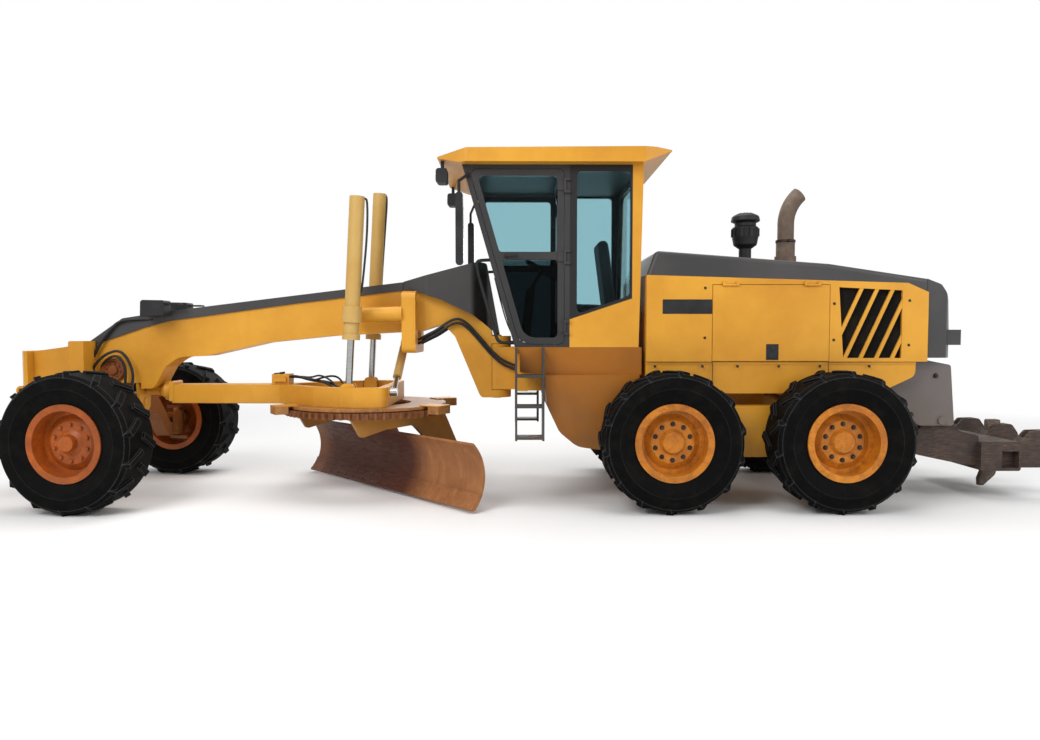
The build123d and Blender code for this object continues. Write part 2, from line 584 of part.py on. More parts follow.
def lift_cylinders():
    """Upright cylinders that raise and lower the drawbar, one a side."""
    for hand, side, reach in (("left", 1, LIFT_BARREL_HEAD), ("right", -1, LIFT_BARREL_HEAD_FAR)):
        start = Vector(LIFT_X, side * LIFT_Y, LIFT_Z)
        eye = Vector(LIFT_EYE_X, side * LIFT_Y, LIFT_EYE_Z)
        down = (eye - start).normalized()
        foot = start + down * LIFT_BARREL_FOOT
        head = start - down * reach
        barrel = rod(tuple(foot), tuple(head), LIFT_BARREL_RADIUS)
        barrel += rod(tuple(foot), tuple(foot - down * 60), LIFT_BARREL_RADIUS + 12)
        barrel += rod(tuple(start - down * 80), tuple(start + down * 80), LIFT_BARREL_RADIUS + 22)
        barrel -= rod(tuple(foot + down), tuple(head + down * 30), LIFT_ROD_RADIUS + RUNNING)
        trunnion_end = side * (LIFT_Y - 39)
        barrel -= rod((LIFT_X, 0, LIFT_Z), (LIFT_X, trunnion_end, LIFT_Z), 30 + RUNNING)
        save(f"lift_barrel_{hand}", barrel)
        shaft = rod(tuple(eye - down * 30), tuple(start - down * 330), LIFT_ROD_RADIUS)
        low, high = eye.Y - LIFT_EAR_GAP + 1, eye.Y + LIFT_EAR_GAP - 1
        save(f"lift_rod_{hand}", shaft + pin_across(eye.X, eye.Z, LIFT_EYE_RADIUS, low, high))


def shift_cylinder():
    """Cylinder that holds the drawbar's rear to one side, slanted across behind the circle."""
    start = Vector(SHIFT_X, *SHIFT_TOP)
    eye = Vector(SHIFT_X, *SHIFT_EYE)
    way = (eye - start).normalized()
    gland = start + way * SHIFT_BARREL
    barrel = rod(tuple(start), tuple(gland), SHIFT_BARREL_RADIUS)
    barrel -= rod(tuple(start + way * 90), tuple(gland + way * 20), SHIFT_ROD_RADIUS + RUNNING)
    near = SHIFT_X - SHIFT_EYE_HALF
    far = SHIFT_X + SHIFT_EYE_HALF
    barrel += rod((near, start.Y, start.Z), (far, start.Y, start.Z), SHIFT_BARREL_RADIUS - 5)
    barrel -= block(near - 60, near, start.Y - 90, start.Y + 90, start.Z - 90, start.Z + 90)
    barrel -= block(far, far + 60, start.Y - 90, start.Y + 90, start.Z - 90, start.Z + 90)
    barrel -= rod((near - 5, start.Y, start.Z), (far + 5, start.Y, start.Z), SHIFT_PIN_RADIUS + RUNNING)
    save("shift_barrel", barrel)
    shaft = rod(tuple(eye - way * SHIFT_ROD), tuple(eye), SHIFT_ROD_RADIUS)
    save("shift_rod", shaft + rod((near, eye.Y, eye.Z), (far, eye.Y, eye.Z), 42))


def drawbar():
    """Frame from the ball to the round deck, with ears for the lift cylinders."""
    top = DECK_Z + DECK_PLATE
    deck = Pos(CIRCLE_X, 0, DECK_Z + DECK_PLATE / 2) * Cylinder(DECK_RADIUS, DECK_PLATE)
    tongue = upright([(BALL_X - 100, -105), (BALL_X - 100, 105), (CIRCLE_X + 900, 150),
                      (CIRCLE_X + 450, 520, 100), (CIRCLE_X, 700, 100), (DRAWBAR_REAR, 650, 100),
                      (DRAWBAR_REAR, -650, 100), (CIRCLE_X, -700, 100), (CIRCLE_X + 450, -520, 100),
                      (CIRCLE_X + 900, -150)], top, TONGUE_TOP)
    hole = Pos(CIRCLE_X - 20, 0, DECK_Z) * Cylinder(DECK_HOLE, 900)
    back = DRAWBAR_REAR + DRAWBAR_WALL
    inner = upright([(CIRCLE_X + 760, -80), (CIRCLE_X + 760, 80), (CIRCLE_X + 400, 440, 80),
                     (CIRCLE_X, 610, 80), (back, 570, 80), (back, -570, 80), (CIRCLE_X, -610, 80),
                     (CIRCLE_X + 400, -440, 80)], top, TONGUE_TOP + 1)
    frame = deck - hole + (tongue - inner)
    wear = Cylinder(780, WEAR_RING) - Cylinder(700, WEAR_RING)
    frame += Pos(CIRCLE_X, 0, DECK_Z - WEAR_RING / 2) * wear
    frame += across([(BALL_X - 120, 955), (BALL_X - 120, 1165, 20), (BALL_X - 70, 1165, 20),
                     (BALL_X - 70, 955)], -110, 110)
    frame += rod((BALL_X - 72, 0, BALL_Z), (BALL_X - 8, 0, BALL_Z), BALL_RADIUS + 26)
    frame -= Pos(BALL_X, 0, BALL_Z) * Sphere(BALL_RADIUS + RUNNING)
    base_top = LIFT_EYE_Z - LIFT_EYE_RADIUS - 22
    ear_side = [(LIFT_EYE_X - 80, top), (LIFT_EYE_X - 66, LIFT_EYE_Z + 50, 40),
                (LIFT_EYE_X + 66, LIFT_EYE_Z + 50, 40), (LIFT_EYE_X + 80, top)]
    for side in (1, -1):
        y = side * LIFT_Y
        out = LIFT_EAR_GAP + LIFT_EAR
        frame += block(LIFT_EYE_X - 80, LIFT_EYE_X + 80, y - out, y + out, top, base_top)
        for low in (y - out, y + LIFT_EAR_GAP):
            frame += across(ear_side, low, low + LIFT_EAR)
        frame -= block(LIFT_EYE_X - 125, LIFT_EYE_X + 90, y - LIFT_EAR_GAP, y + LIFT_EAR_GAP,
                       base_top, LIFT_EYE_Z + 60)
    bracket_x = SHIFT_X + SHIFT_EYE_HALF + SHIFT_EYE_GAP
    frame += block(bracket_x, DRAWBAR_REAR + 5, SHIFT_EYE[0] - 60, SHIFT_EYE[0] + 60,
                   SHIFT_EYE[1] - 60, SHIFT_EYE[1] + 50)
    frame += block(CIRCLE_X + 810, CIRCLE_X + 990, -60, 110, TONGUE_TOP - 1, TONGUE_TOP + 108)
    frame += block(CIRCLE_X + 835, CIRCLE_X + 965, -85, 135, TONGUE_TOP + 30, TONGUE_TOP + 74)
    for turn in (SHOE_TURN, -SHOE_TURN, 180 - SHOE_TURN, 180 + SHOE_TURN):
        shoe = guide_shoe()
        frame += Pos(CIRCLE_X, 0, 0) * Rot(0, 0, turn) * shoe
    save("drawbar", frame)


def guide_shoe():
    """Bracket on the deck that keeps the circle's rim in place, about the circle's centre."""
    inner = CIRCLE_TOOTH_RADIUS + SIDE_GAP + 3
    top = DECK_Z + DECK_PLATE
    wall = block(inner, inner + 130, -100, 100, DECK_Z - 46, top + 12)
    return wall + block(DECK_RADIUS - 60, inner + 10, -100, 100, top, top + 12)


def circle_and_blade():
    """Toothed circle with the blade's arms, the tilting carrier and the blade, square to X."""
    turn = Pos(CIRCLE_X, 0, 0) * Rot(0, 0, CIRCLE_TURN)
    top = DECK_Z - WEAR_RING - RUNNING
    foot = top - CIRCLE_PLATE
    ring = Pos(0, 0, (top + foot) / 2) * Cylinder(CIRCLE_ROOT_RADIUS, CIRCLE_PLATE)
    bore = Pos(0, 0, (top + foot) / 2) * Cylinder(CIRCLE_BORE, 2 * CIRCLE_PLATE)
    teeth = []
    for i in range(CIRCLE_TEETH):
        tooth = upright([(CIRCLE_ROOT_RADIUS - 12, -27), (CIRCLE_TOOTH_RADIUS, -13),
                         (CIRCLE_TOOTH_RADIUS, 13), (CIRCLE_ROOT_RADIUS - 12, 27)], foot, top)
        teeth.append(Rot(0, 0, 360 / CIRCLE_TEETH * i) * tooth)
    circle = (ring + teeth) - bore
    arm_side = [
        (-580, foot + 1), (-768, 462, 60), (-600, 300, 80),
        (BLADE_PIVOT_X - 62, BLADE_PIVOT_Z - 62, 50), (BLADE_PIVOT_X + 50, BLADE_PIVOT_Z - 62, 50),
        (BLADE_PIVOT_X + 50, BLADE_PIVOT_Z + 260, 60), (BLADE_PIVOT_X + 180, foot - 110, 90),
        (150, foot - 130, 80), (440, foot - 190, 40), (556, foot + 1),
    ]
    for side in (1, -1):
        low, high = sorted((side * BLADE_ARM_Y, side * (BLADE_ARM_Y + BLADE_ARM)))
        circle += across(arm_side, low, high)
        circle -= pin_across(BLADE_PIVOT_X, BLADE_PIVOT_Z, 34 + RUNNING, low, high)
    skirt = across([(-600, foot), (-600, foot - 70, 30), (-560, foot - 70), (-560, foot)],
                   -BLADE_ARM_Y, BLADE_ARM_Y)
    save("circle", turn * (circle + skirt))

    side_low = BLADE_ARM_Y - SIDE_GAP
    nose = BLADE_PIVOT_X + RAIL_AHEAD + 44
    carrier_side = [
        (BLADE_PIVOT_X - 52, BLADE_PIVOT_Z - 50, 40), (nose - 60, BLADE_PIVOT_Z - 116, 30),
        (nose, BLADE_PIVOT_Z - 116, 20), (nose, BLADE_PIVOT_Z + 194, 20),
        (nose - 70, BLADE_PIVOT_Z + 194, 20), (BLADE_PIVOT_X - 52, BLADE_PIVOT_Z + 50, 40),
    ]
    rails = rail_places()
    carrier = None
    for side in (1, -1):
        low, high = sorted((side * side_low, side * (side_low - 70)))
        plate = across(carrier_side, low, high)
        carrier = plate if carrier is None else carrier + plate
        out = side * (BLADE_ARM_Y + BLADE_ARM + 14)
        low, high = sorted((side * (side_low - 10), out))
        carrier += pin_across(BLADE_PIVOT_X, BLADE_PIVOT_Z, 34, low, high)
    carrier += pin_across(BLADE_PIVOT_X, BLADE_PIVOT_Z, 48, -side_low + 10, side_low - 10)
    carrier += block(BLADE_PIVOT_X, BLADE_PIVOT_X + 40, -side_low + 10, side_low - 10,
                     BLADE_PIVOT_Z - 30, BLADE_PIVOT_Z + 100)
    for x, z in rails:
        carrier -= pin_across(x, z, RAIL_RADIUS + RUNNING, -side_low - 1, side_low + 1)
    save("blade_carrier", turn * carrier)
    save("blade", turn * Pos(0, BLADE_SHIFT_AT_REST, 0) * blade())


def rail_places():
    """The two slide rails behind the blade, (x, z) of their middles."""
    x = BLADE_PIVOT_X + RAIL_AHEAD
    return [(x, BLADE_PIVOT_Z - 72), (x, BLADE_PIVOT_Z + 150)]


def blade():
    """Curved mouldboard with its cutting edge, end bits and the slide rails on its back."""
    half = BLADE_LENGTH / 2
    rise = sqrt(BLADE_CURVE**2 - (BLADE_CHORD / 2) ** 2)
    centre_x = BLADE_EDGE_X + rise
    centre_z = BLADE_FOOT_Z + BLADE_CHORD / 2
    low = (BLADE_EDGE_X, BLADE_FOOT_Z)
    high = (BLADE_EDGE_X, BLADE_FOOT_Z + BLADE_CHORD)
    inner_mid = (centre_x - BLADE_CURVE, centre_z)
    outer = BLADE_CURVE + BLADE_PLATE
    tilt = atan2(BLADE_CHORD / 2, rise)
    out_low = (centre_x - outer * cos(tilt), centre_z - outer * sin(tilt))
    out_high = (centre_x - outer * cos(tilt), centre_z + outer * sin(tilt))
    edges = (ThreePointArc(low, inner_mid, high) + Line(high, out_high)
             + ThreePointArc(out_high, (centre_x - outer, centre_z), out_low) + Line(out_low, low))
    board = extrude(Plane.XZ.offset(-half) * make_face(edges), amount=BLADE_LENGTH, dir=(0, -1, 0))
    board -= block(-800, 400, -half - 5, half + 5, -200, BLADE_FOOT_Z)
    for x, z in rail_places():
        board += pin_across(x, z, RAIL_RADIUS, -half + 160, half - 160)
    rail_x = rail_places()[0][0]
    end_plate = [(rail_x - 22, BLADE_PIVOT_Z - 90), (rail_x - 22, BLADE_PIVOT_Z + 170),
                 (BLADE_EDGE_X - 110, BLADE_PIVOT_Z + 190), (BLADE_EDGE_X - 110, BLADE_PIVOT_Z - 120)]
    for y in (-half + 150, half - 210):
        board += across(end_plate, y, y + 60) - across_arc(centre_x, centre_z, BLADE_CURVE + 4)
    return board


def across_arc(x, z, radius):
    """The round space in front of the mouldboard."""
    return pin_across(x, z, radius, -BLADE_LENGTH, BLADE_LENGTH)


def rear_frame():
    """Rails, bulkhead and hinge lugs that carry the cab, the engine and the drive."""
    frame = None
    for side in (1, -1):
        low, high = sorted((side * RAIL_HALF, side * (RAIL_HALF - RAIL_WIDTH)))
        rail = across([(2235, 1085), (2235, RAIL_TOP), (-1690, RAIL_TOP), (-1690, 1150, 80),
                       (-1500, RAIL_FOOT, 80)], low, high)
        mount = across([(-300, RAIL_FOOT + 1), (-250, 700, 30), (250, 700, 30), (300, RAIL_FOOT + 1)],
                       low, high)
        rail += mount - pin_across(0, HUB_Z, AXLE_TUBE_RADIUS + RUNNING, low - 10, high + 10)
        frame = rail if frame is None else frame + rail
    for x in (1500, 640, -1080, -1690):
        frame += block(x, x + 60, -RAIL_HALF + 1, RAIL_HALF - 1, RAIL_FOOT + 90, RAIL_TOP - 60)
    low = LOWER_LUG_Z + SIDE_GAP
    high = UPPER_LUG_Z - SIDE_GAP
    frame += block(2110, 2235, -RAIL_HALF, RAIL_HALF, low, DECK_FOOT)
    drum = Pos(HINGE_X, 0, (low + high) / 2) * Cylinder(LUG_PLATE_RADIUS, high - low)
    frame += drum + block(2110, HINGE_X, -LUG_PLATE_RADIUS, LUG_PLATE_RADIUS, low, CAB_FOOT - SIDE_GAP)
    pin_foot = LOWER_LUG_Z - HINGE_PLATE - 12
    pin_head = UPPER_LUG_Z + HINGE_PLATE + 12
    frame += Pos(HINGE_X, 0, (pin_foot + pin_head) / 2) * Cylinder(HINGE_PIN_RADIUS, pin_head - pin_foot)
    save("rear_frame", frame)


def drive():
    """Engine block, rear axle and the two tandem cases with their wheel spindles."""
    engine = block(-760, 640, -300, 300, 1120, 1980) + block(-1240, -760, -260, 260, 1200, 1700)
    gearbox = block(640, 900, -220, 220, 1120, 1500)
    frame_room = block(640, 700, -400, 400, RAIL_FOOT + 85, RAIL_TOP - 55)
    frame_room += block(-1080, -1020, -400, 400, RAIL_FOOT + 85, RAIL_TOP - 55)
    save("engine", engine + gearbox - frame_room)

    axle = pin_across(0, HUB_Z, AXLE_TUBE_RADIUS, -RAIL_HALF - 20, RAIL_HALF + 20)
    axle += pin_across(0, HUB_Z, 170, -CASE_IN, CASE_IN)
    axle += Pos(0, 0, HUB_Z) * Cylinder(270, 380, rotation=(90, 0, 0))
    save("rear_axle", axle)

    half = TANDEM_PITCH / 2
    reach = half + CASE_RADIUS - 15
    case = across([(-reach, HUB_Z - 190, 150), (reach, HUB_Z - 190, 150), (reach, HUB_Z + 170, 150),
                   (half - 160, HUB_Z + 300, 200), (-half + 160, HUB_Z + 300, 200),
                   (-reach, HUB_Z + 170, 150)], CASE_IN, CASE_OUT)
    for x in (half, -half):
        case += pin_across(x, HUB_Z, HUB_RADIUS - 10, CASE_OUT - 5, HALF_GAUGE + RIM_DISH - SIDE_GAP)
        case += pin_across(x, HUB_Z, SPINDLE_RADIUS, CASE_OUT, HALF_GAUGE + RIM_DISH + RIM_DISC)
    save("tandem_cases", *pair(case))


def seam_height(x):
    """Height of the seam between the dark hood and the yellow side at a station."""
    if x > SEAM_BEND_X:
        share = (BODY_FRONT - x) / (BODY_FRONT - SEAM_BEND_X)
        return SEAM_FRONT_Z + (SEAM_BEND_Z - SEAM_FRONT_Z) * share
    share = (SEAM_BEND_X - x) / (SEAM_BEND_X - BODY_REAR)
    return SEAM_BEND_Z + (SEAM_REAR_Z - SEAM_BEND_Z) * share


def lid_hinges():
    """Stations of the two hinge knuckles along a lid's head."""
    return (LID_REAR + 120, LID_FRONT - 220)


def bodywork():
    """Dark hood, yellow side panels with slanted grilles, lift-up lids and the rear cowl."""
    seam = [(BODY_FRONT, SEAM_FRONT_Z), (SEAM_BEND_X, SEAM_BEND_Z), (BODY_REAR, SEAM_REAR_Z)]
    crown = [(BODY_REAR, HOOD_REAR_Z), (-800, 2335, 400), (885, 2460, 60)]
    under = [(BODY_REAR - 1, HOOD_REAR_Z - BODY_WALL), (-800, 2335 - BODY_WALL, 400), (885 - BODY_WALL, 2460 - BODY_WALL, 60),
             (BODY_FRONT - BODY_WALL - 8, SEAM_FRONT_Z - 1)]
    skin = across(seam + crown, -BODY_HALF, BODY_HALF)
    rounded = [e for e in skin.edges() if abs(abs(e.center().Y) - BODY_HALF) < 1
               and e.center().Z > seam_height(e.center().X) + 30]
    skin = fillet(rounded, HOOD_SHOULDER)
    inner = across(under + [(SEAM_BEND_X, SEAM_BEND_Z - 1), (BODY_REAR - 1, SEAM_REAR_Z - 1)],
                   -BODY_HALF + BODY_WALL, BODY_HALF - BODY_WALL)
    hood = skin - inner
    for x, radius in ((STACK_X, STACK_RADIUS), (CLEANER_X, CLEANER_RADIUS)):
        hood -= Pos(x, 0, 2400) * Cylinder(radius + RUNNING, 400)
    save("hood", hood)

    inside = BODY_HALF - BODY_WALL
    panels = across([(BODY_FRONT, BODY_FOOT)] + seam + [(BODY_REAR, BODY_FOOT)], inside, BODY_HALF)
    panels -= block(LID_REAR - PANEL_GAP, LID_FRONT + PANEL_GAP, inside - 1, BODY_HALF + 1,
                    BODY_FOOT, LID_HEAD + PANEL_GAP)
    window = [(GRILLE_FRONT - 50, 1425), (GRILLE_FRONT, 2108), (GRILLE_REAR, 2078), (GRILLE_REAR, 1425)]
    panels -= across(window, inside - 1, BODY_HALF + 1)
    slats = []
    pitch = (GRILLE_FRONT - GRILLE_REAR + 150) / SLAT_COUNT
    for i in range(SLAT_COUNT):
        x = GRILLE_FRONT + 190 - pitch * (i + 0.5)
        slat = across([(x, 1400), (x - SLAT, 1400), (x - SLAT - SLAT_LEAN, 2130), (x - SLAT_LEAN, 2130)],
                      inside + 4, BODY_HALF - 3)
        slats.append(slat & across(window, inside, BODY_HALF))
    panels = panels + slats
    sill = across([(BODY_FRONT, 1080), (BODY_FRONT, BODY_FOOT), (BODY_REAR + 100, BODY_FOOT),
                   (BODY_REAR + 100, 1250, 80), (-1300, 1080, 80)], inside - 60, inside)
    shelf = block(-1240, BODY_FRONT, RAIL_HALF, inside, RAIL_TOP - 25, BODY_FOOT - 2)
    left = panels + sill + shelf + block(BODY_REAR + 100, BODY_FRONT, inside - 30, inside + 6,
                                         BODY_FOOT - 30, BODY_FOOT)
    for x in lid_hinges():
        for low in (x - 30, x + LID_KNUCKLE + RUNNING):
            high = low + 30 - RUNNING
            left += rod((low, LID_HINGE_Y, LID_HINGE_Z), (high, LID_HINGE_Y, LID_HINGE_Z), 9)
            left += block(low, high, LID_HINGE_Y - 7, LID_HINGE_Y + 8, LID_HINGE_Z, LID_HINGE_Z + 32)
            left += block(low, high, BODY_HALF - 1, LID_HINGE_Y, LID_HINGE_Z + 14, LID_HINGE_Z + 32)
        left += rod((x - 20, LID_HINGE_Y, LID_HINGE_Z), (x + LID_KNUCKLE + 20, LID_HINGE_Y, LID_HINGE_Z), 5)
    both = pair(left)
    front_wall = block(BODY_FRONT - BODY_WALL, BODY_FRONT, -inside, inside, RAIL_TOP + 5,
                       seam_height(BODY_FRONT - BODY_WALL) - 1)
    save("side_panels", both[0] + both[1] + front_wall)

    lid = block(LID_REAR, LID_FRONT, inside, BODY_HALF, BODY_FOOT + PANEL_GAP, LID_HEAD)
    lid -= across([(-300, 1430), (-300, 1520), (-220, 1520), (-220, 1430)], BODY_HALF - 12, BODY_HALF + 1)
    for x in lid_hinges():
        lid += rod((x, LID_HINGE_Y, LID_HINGE_Z), (x + LID_KNUCKLE, LID_HINGE_Y, LID_HINGE_Z), 9)
        lid += block(x, x + LID_KNUCKLE, inside, LID_HINGE_Y - 6, LID_HINGE_Z - 12, LID_HINGE_Z - 4)
        lid -= rod((x - 1, LID_HINGE_Y, LID_HINGE_Z), (x + LID_KNUCKLE + 1, LID_HINGE_Y, LID_HINGE_Z), 5 + RUNNING)
    lids = pair(lid)
    save("engine_lid_left", lids[0])
    save("engine_lid_right", lids[1])

    shoulder = COWL_REAR + 110
    cowl_plan = upright([(BODY_REAR, -inside), (BODY_REAR, inside), (shoulder, inside - 20, 60),
                         (COWL_REAR, 560, 100), (COWL_REAR, -560, 100), (shoulder, 20 - inside, 60)],
                        COWL_FOOT, HOOD_REAR_Z)
    cowl_side = across([(BODY_REAR, COWL_FOOT), (BODY_REAR, HOOD_REAR_Z), (shoulder + 60, 2140, 60),
                        (COWL_REAR + 60, 1990, 80), (COWL_REAR, 1600, 100), (COWL_REAR, COWL_FOOT)],
                       -inside, inside)
    cowl = cowl_plan & cowl_side
    room = block(BODY_REAR - 130, BODY_REAR + 1, -620, 620, COWL_FOOT + 50, 2045)
    vents = [block(COWL_REAR - 20, COWL_REAR + 95, -420, 420, z, z + 28) for z in range(1660, 1960, 60)]
    cowl = cowl - room - vents
    for side in (1, -1):
        low, high = sorted((side * 480, side * 660))
        cowl += block(COWL_REAR - 60, COWL_REAR + 120, low, high, 1550, 1700)
    save("rear_cowl", cowl)


def stacks():
    """Exhaust stack with its swept-back tip, and the air precleaner."""
    x = STACK_X
    base = rod((x, 0, 2350), (x, 0, 2480), STACK_RADIUS) + rod((x, 0, 2480), (x, 0, 2640), 96)
    bend_start = 2820.0
    bend = 420.0
    path = Line((x, 0, 2640), (x, 0, bend_start)) + ThreePointArc(
        (x, 0, bend_start), (x - bend * (1 - cos(radians(24))), 0, bend_start + bend * sin(radians(24))),
        (x - bend * (1 - cos(radians(48))), 0, bend_start + bend * sin(radians(48))))
    pipe = sweep(Plane(origin=(x, 0, 2640)) * (Circle(84) - Circle(76)), path=path)
    base -= rod((x, 0, 2600), (x, 0, 2700), 76)
    save("exhaust_stack", base + pipe)
    bowl = revolve(Plane.XZ * outline([(0, 2350), (CLEANER_RADIUS, 2350), (CLEANER_RADIUS, 2560), (120, 2600, 20), (135, 2680),
                                       (135, 2780), (110, 2800), (110, 2830), (150, 2850, 10),
                                       (140, 2900, 20), (70, 2930), (0, 2930)]), axis=Axis.Z)
    save("precleaner", Pos(CLEANER_X, 0, 0) * bowl)


def cab_side(inset):
    """Side outline of the cab, drawn in by a distance."""
    lean = (CAB_FRONT_HEAD - CAB_FRONT_FOOT) / (CAB_HEAD - CAB_FOOT)
    tail = (CAB_REAR_HEAD - CAB_REAR_FOOT) / (CAB_HEAD - CAB_FOOT)
    low = CAB_FOOT + inset
    high = CAB_HEAD - inset
    return [
        (CAB_FRONT_FOOT + lean * (low - CAB_FOOT) - inset, low),
        (CAB_FRONT_FOOT + lean * (high - CAB_FOOT) - inset, high),
        (CAB_REAR_FOOT + tail * (high - CAB_FOOT) + inset, high),
        (CAB_REAR_FOOT + tail * (low - CAB_FOOT) + inset, low),
    ]


def door_side(inset):
    """Side outline of a cab door, drawn in by a distance."""
    lean = (CAB_FRONT_HEAD - CAB_FRONT_FOOT) / (CAB_HEAD - CAB_FOOT)
    low = DOOR_FOOT + inset
    high = DOOR_HEAD - inset
    front = CAB_FRONT_FOOT - 55 - inset
    return [
        (front + lean * (low - CAB_FOOT), low, max(160 - inset, 60)),
        (front + lean * (high - CAB_FOOT), high, max(60 - inset, 20)),
        (DOOR_REAR + inset, high, max(50 - inset, 20)),
        (DOOR_REAR + inset, low, max(50 - inset, 20)),
    ]


def door_windows():
    """The door's upper and lower window, as side outlines."""
    lean = (CAB_FRONT_HEAD - CAB_FRONT_FOOT) / (CAB_HEAD - CAB_FOOT)
    front = CAB_FRONT_FOOT - 55 - DOOR_FRAME
    rear = DOOR_REAR + DOOR_FRAME
    low = DOOR_FOOT + DOOR_FRAME
    high = DOOR_HEAD - DOOR_FRAME
    split_low = DOOR_RAIL_Z - 38
    split_high = DOOR_RAIL_Z + 38
    upper = [(front + lean * (split_high - CAB_FOOT), split_high, 30),
             (front + lean * (high - CAB_FOOT), high, 40), (rear, high, 40), (rear, split_high, 30)]
    lower = [(front + lean * (low - CAB_FOOT), low, 150),
             (front + lean * (split_low - CAB_FOOT), split_low, 30), (rear, split_low, 30), (rear, low, 40)]
    return [upper, lower]


def quarter_window():
    """Fixed window behind the door, with its slanted foot."""
    return [(1640, 1850, 40), (1640, 3215, 40), (1125, 3215, 40), (1125, 2030, 60)]


def shrink(points, gap):
    """An outline drawn in by a gap towards its own middle."""
    centre_u = sum(p[0] for p in points) / len(points)
    centre_v = sum(p[1] for p in points) / len(points)
    moved = []
    for u, v, r in points:
        moved.append((u - gap * (1 if u > centre_u else -1), v - gap * (1 if v > centre_v else -1), r))
    return moved


def cab():
    """Cab shell, roof, glass, doors and what shows through the glass."""
    outer = across(cab_side(0), -CAB_HALF, CAB_HALF)
    inner = across(cab_side(CAB_WALL), -CAB_HALF + CAB_WALL, CAB_HALF - CAB_WALL)
    shell = outer - inner
    wide = CAB_HALF + 1
    shell -= across(door_side(-PANEL_GAP), -wide, wide)
    shell -= across(quarter_window(), -wide, wide)
    rear_window = along([(-560, 1900, 60), (560, 1900, 60), (560, 3180, 60), (-560, 3180, 60)], 900, 1200)
    shell -= rear_window
    front_window = along([(-630, 1640, 60), (630, 1640, 60), (630, 3190, 60), (-630, 3190, 60)], 2150, 2900)
    front_cut = front_window & across([(2150, 1500), (2150 + 10, 1500), (2900, 1500), (2900, 3300),
                                       (2600, 3300)], -700, 700)
    shell -= front_cut
    for z in DOOR_HINGES:
        for low in (z - DOOR_KNUCKLE / 2 - 26, z + DOOR_KNUCKLE / 2 + RUNNING):
            lug = block(DOOR_REAR - 64, DOOR_HINGE_X + 10, CAB_HALF, DOOR_HINGE_Y + 10, low, low + 26 - RUNNING)
            shell += pair(lug)
        pin = Pos(DOOR_HINGE_X, DOOR_HINGE_Y, z) * Cylinder(6, DOOR_KNUCKLE + 40)
        shell += pair(pin)
    save("cab_shell", shell)

    panes = []
    for points in (quarter_window(),):
        pane = across(shrink(points, RUNNING), CAB_HALF - 30, CAB_HALF - 30 + GLASS)
        panes += pair(pane)
    panes.append(along([(-560 + RUNNING, 1900 + RUNNING, 60), (560 - RUNNING, 1900 + RUNNING, 60),
                        (560 - RUNNING, 3180 - RUNNING, 60), (-560 + RUNNING, 3180 - RUNNING, 60)],
                       1030, 1030 + GLASS))
    lean = (CAB_FRONT_HEAD - CAB_FRONT_FOOT) / (CAB_HEAD - CAB_FOOT)
    screen_side = [(CAB_FRONT_FOOT - 30 + lean * (z - CAB_FOOT), z) for z in (1600, 3240)]
    screen_side += [(x - GLASS, z) for x, z in reversed(screen_side)]
    screen = across(screen_side, -660, 660)
    screen &= along([(-630 + RUNNING, 1640 + RUNNING, 60), (630 - RUNNING, 1640 + RUNNING, 60),
                     (630 - RUNNING, 3190 - RUNNING, 60), (-630 + RUNNING, 3190 - RUNNING, 60)], 2150, 2900)
    panes.append(screen)
    save("cab_glass", *panes)

    roof_side = [(3010, 3345, 8), (2770, CAB_HEAD), (1010, CAB_HEAD), (720, 3405, 6), (900, 3425), (2700, 3410, 20)]
    roof = across(roof_side, -850, 850)
    roof &= upright([(3010, -700, 60), (3010, 700, 60), (2700, 850, 60), (1000, 850, 60), (720, 760, 60),
                     (720, -760, 60), (1000, -850, 60), (2700, -850, 60)], 3200, 3500)
    save("cab_roof", roof)

    leaf = across(door_side(0), CAB_HALF - CAB_WALL, CAB_HALF)
    for points in door_windows():
        leaf -= across(points, 0, CAB_HALF + 1)
    for z in DOOR_HINGES:
        knuckle_low = z - DOOR_KNUCKLE / 2
        leaf += Pos(DOOR_HINGE_X, DOOR_HINGE_Y, z) * Cylinder(12, DOOR_KNUCKLE)
        leaf += block(DOOR_HINGE_X, DOOR_REAR + 62, CAB_HALF + 2, CAB_HALF + 12, knuckle_low, knuckle_low + DOOR_KNUCKLE)
        leaf += block(DOOR_REAR + 2, DOOR_REAR + 62, CAB_HALF - 1, CAB_HALF + 3, knuckle_low, knuckle_low + DOOR_KNUCKLE)
        leaf -= Pos(DOOR_HINGE_X, DOOR_HINGE_Y, z) * Cylinder(6 + RUNNING, DOOR_KNUCKLE + 2)
    glass = []
    for points in door_windows():
        glass.append(across(shrink(points, RUNNING), CAB_HALF - 30, CAB_HALF - 30 + GLASS))
    left, right = pair(leaf)
    save("cab_door_left", left)
    save("cab_door_right", right)
    save("door_glass_left", *glass)
    save("door_glass_right", *[mirror(g, about=Plane.XZ) for g in glass])

    floor = CAB_FOOT + CAB_WALL
    pedestal = across([(1300, floor), (1300, 1850, 30), (1760, 1850, 30), (1760, floor)], -170, 170)
    cushion = across([(1270, 1850), (1270, 1950, 40), (1800, 1970, 50), (1800, 1850, 30)], -250, 250)
    back = across([(1270, 1920), (1180, 2620, 40), (1300, 2640, 40), (1400, 1920)], -230, 230)
    save("driver_seat", pedestal + cushion + back)
    column = across([(2080, floor), (2180, floor), (2120, 2120, 20), (2020, 2180, 20)], -90, 90)
    shaft = rod((2060, 0, 2150), (1950, 0, 2330), 22)
    hoop = Plane(origin=(1950, 0, 2330), z_dir=(-0.52, 0, 0.85)) * Torus(190, 14)
    spoke = Plane(origin=(1950, 0, 2330), z_dir=(-0.52, 0, 0.85)) * Box(30, 378, 12)
    save("steering_console", column + shaft + hoop + spoke)


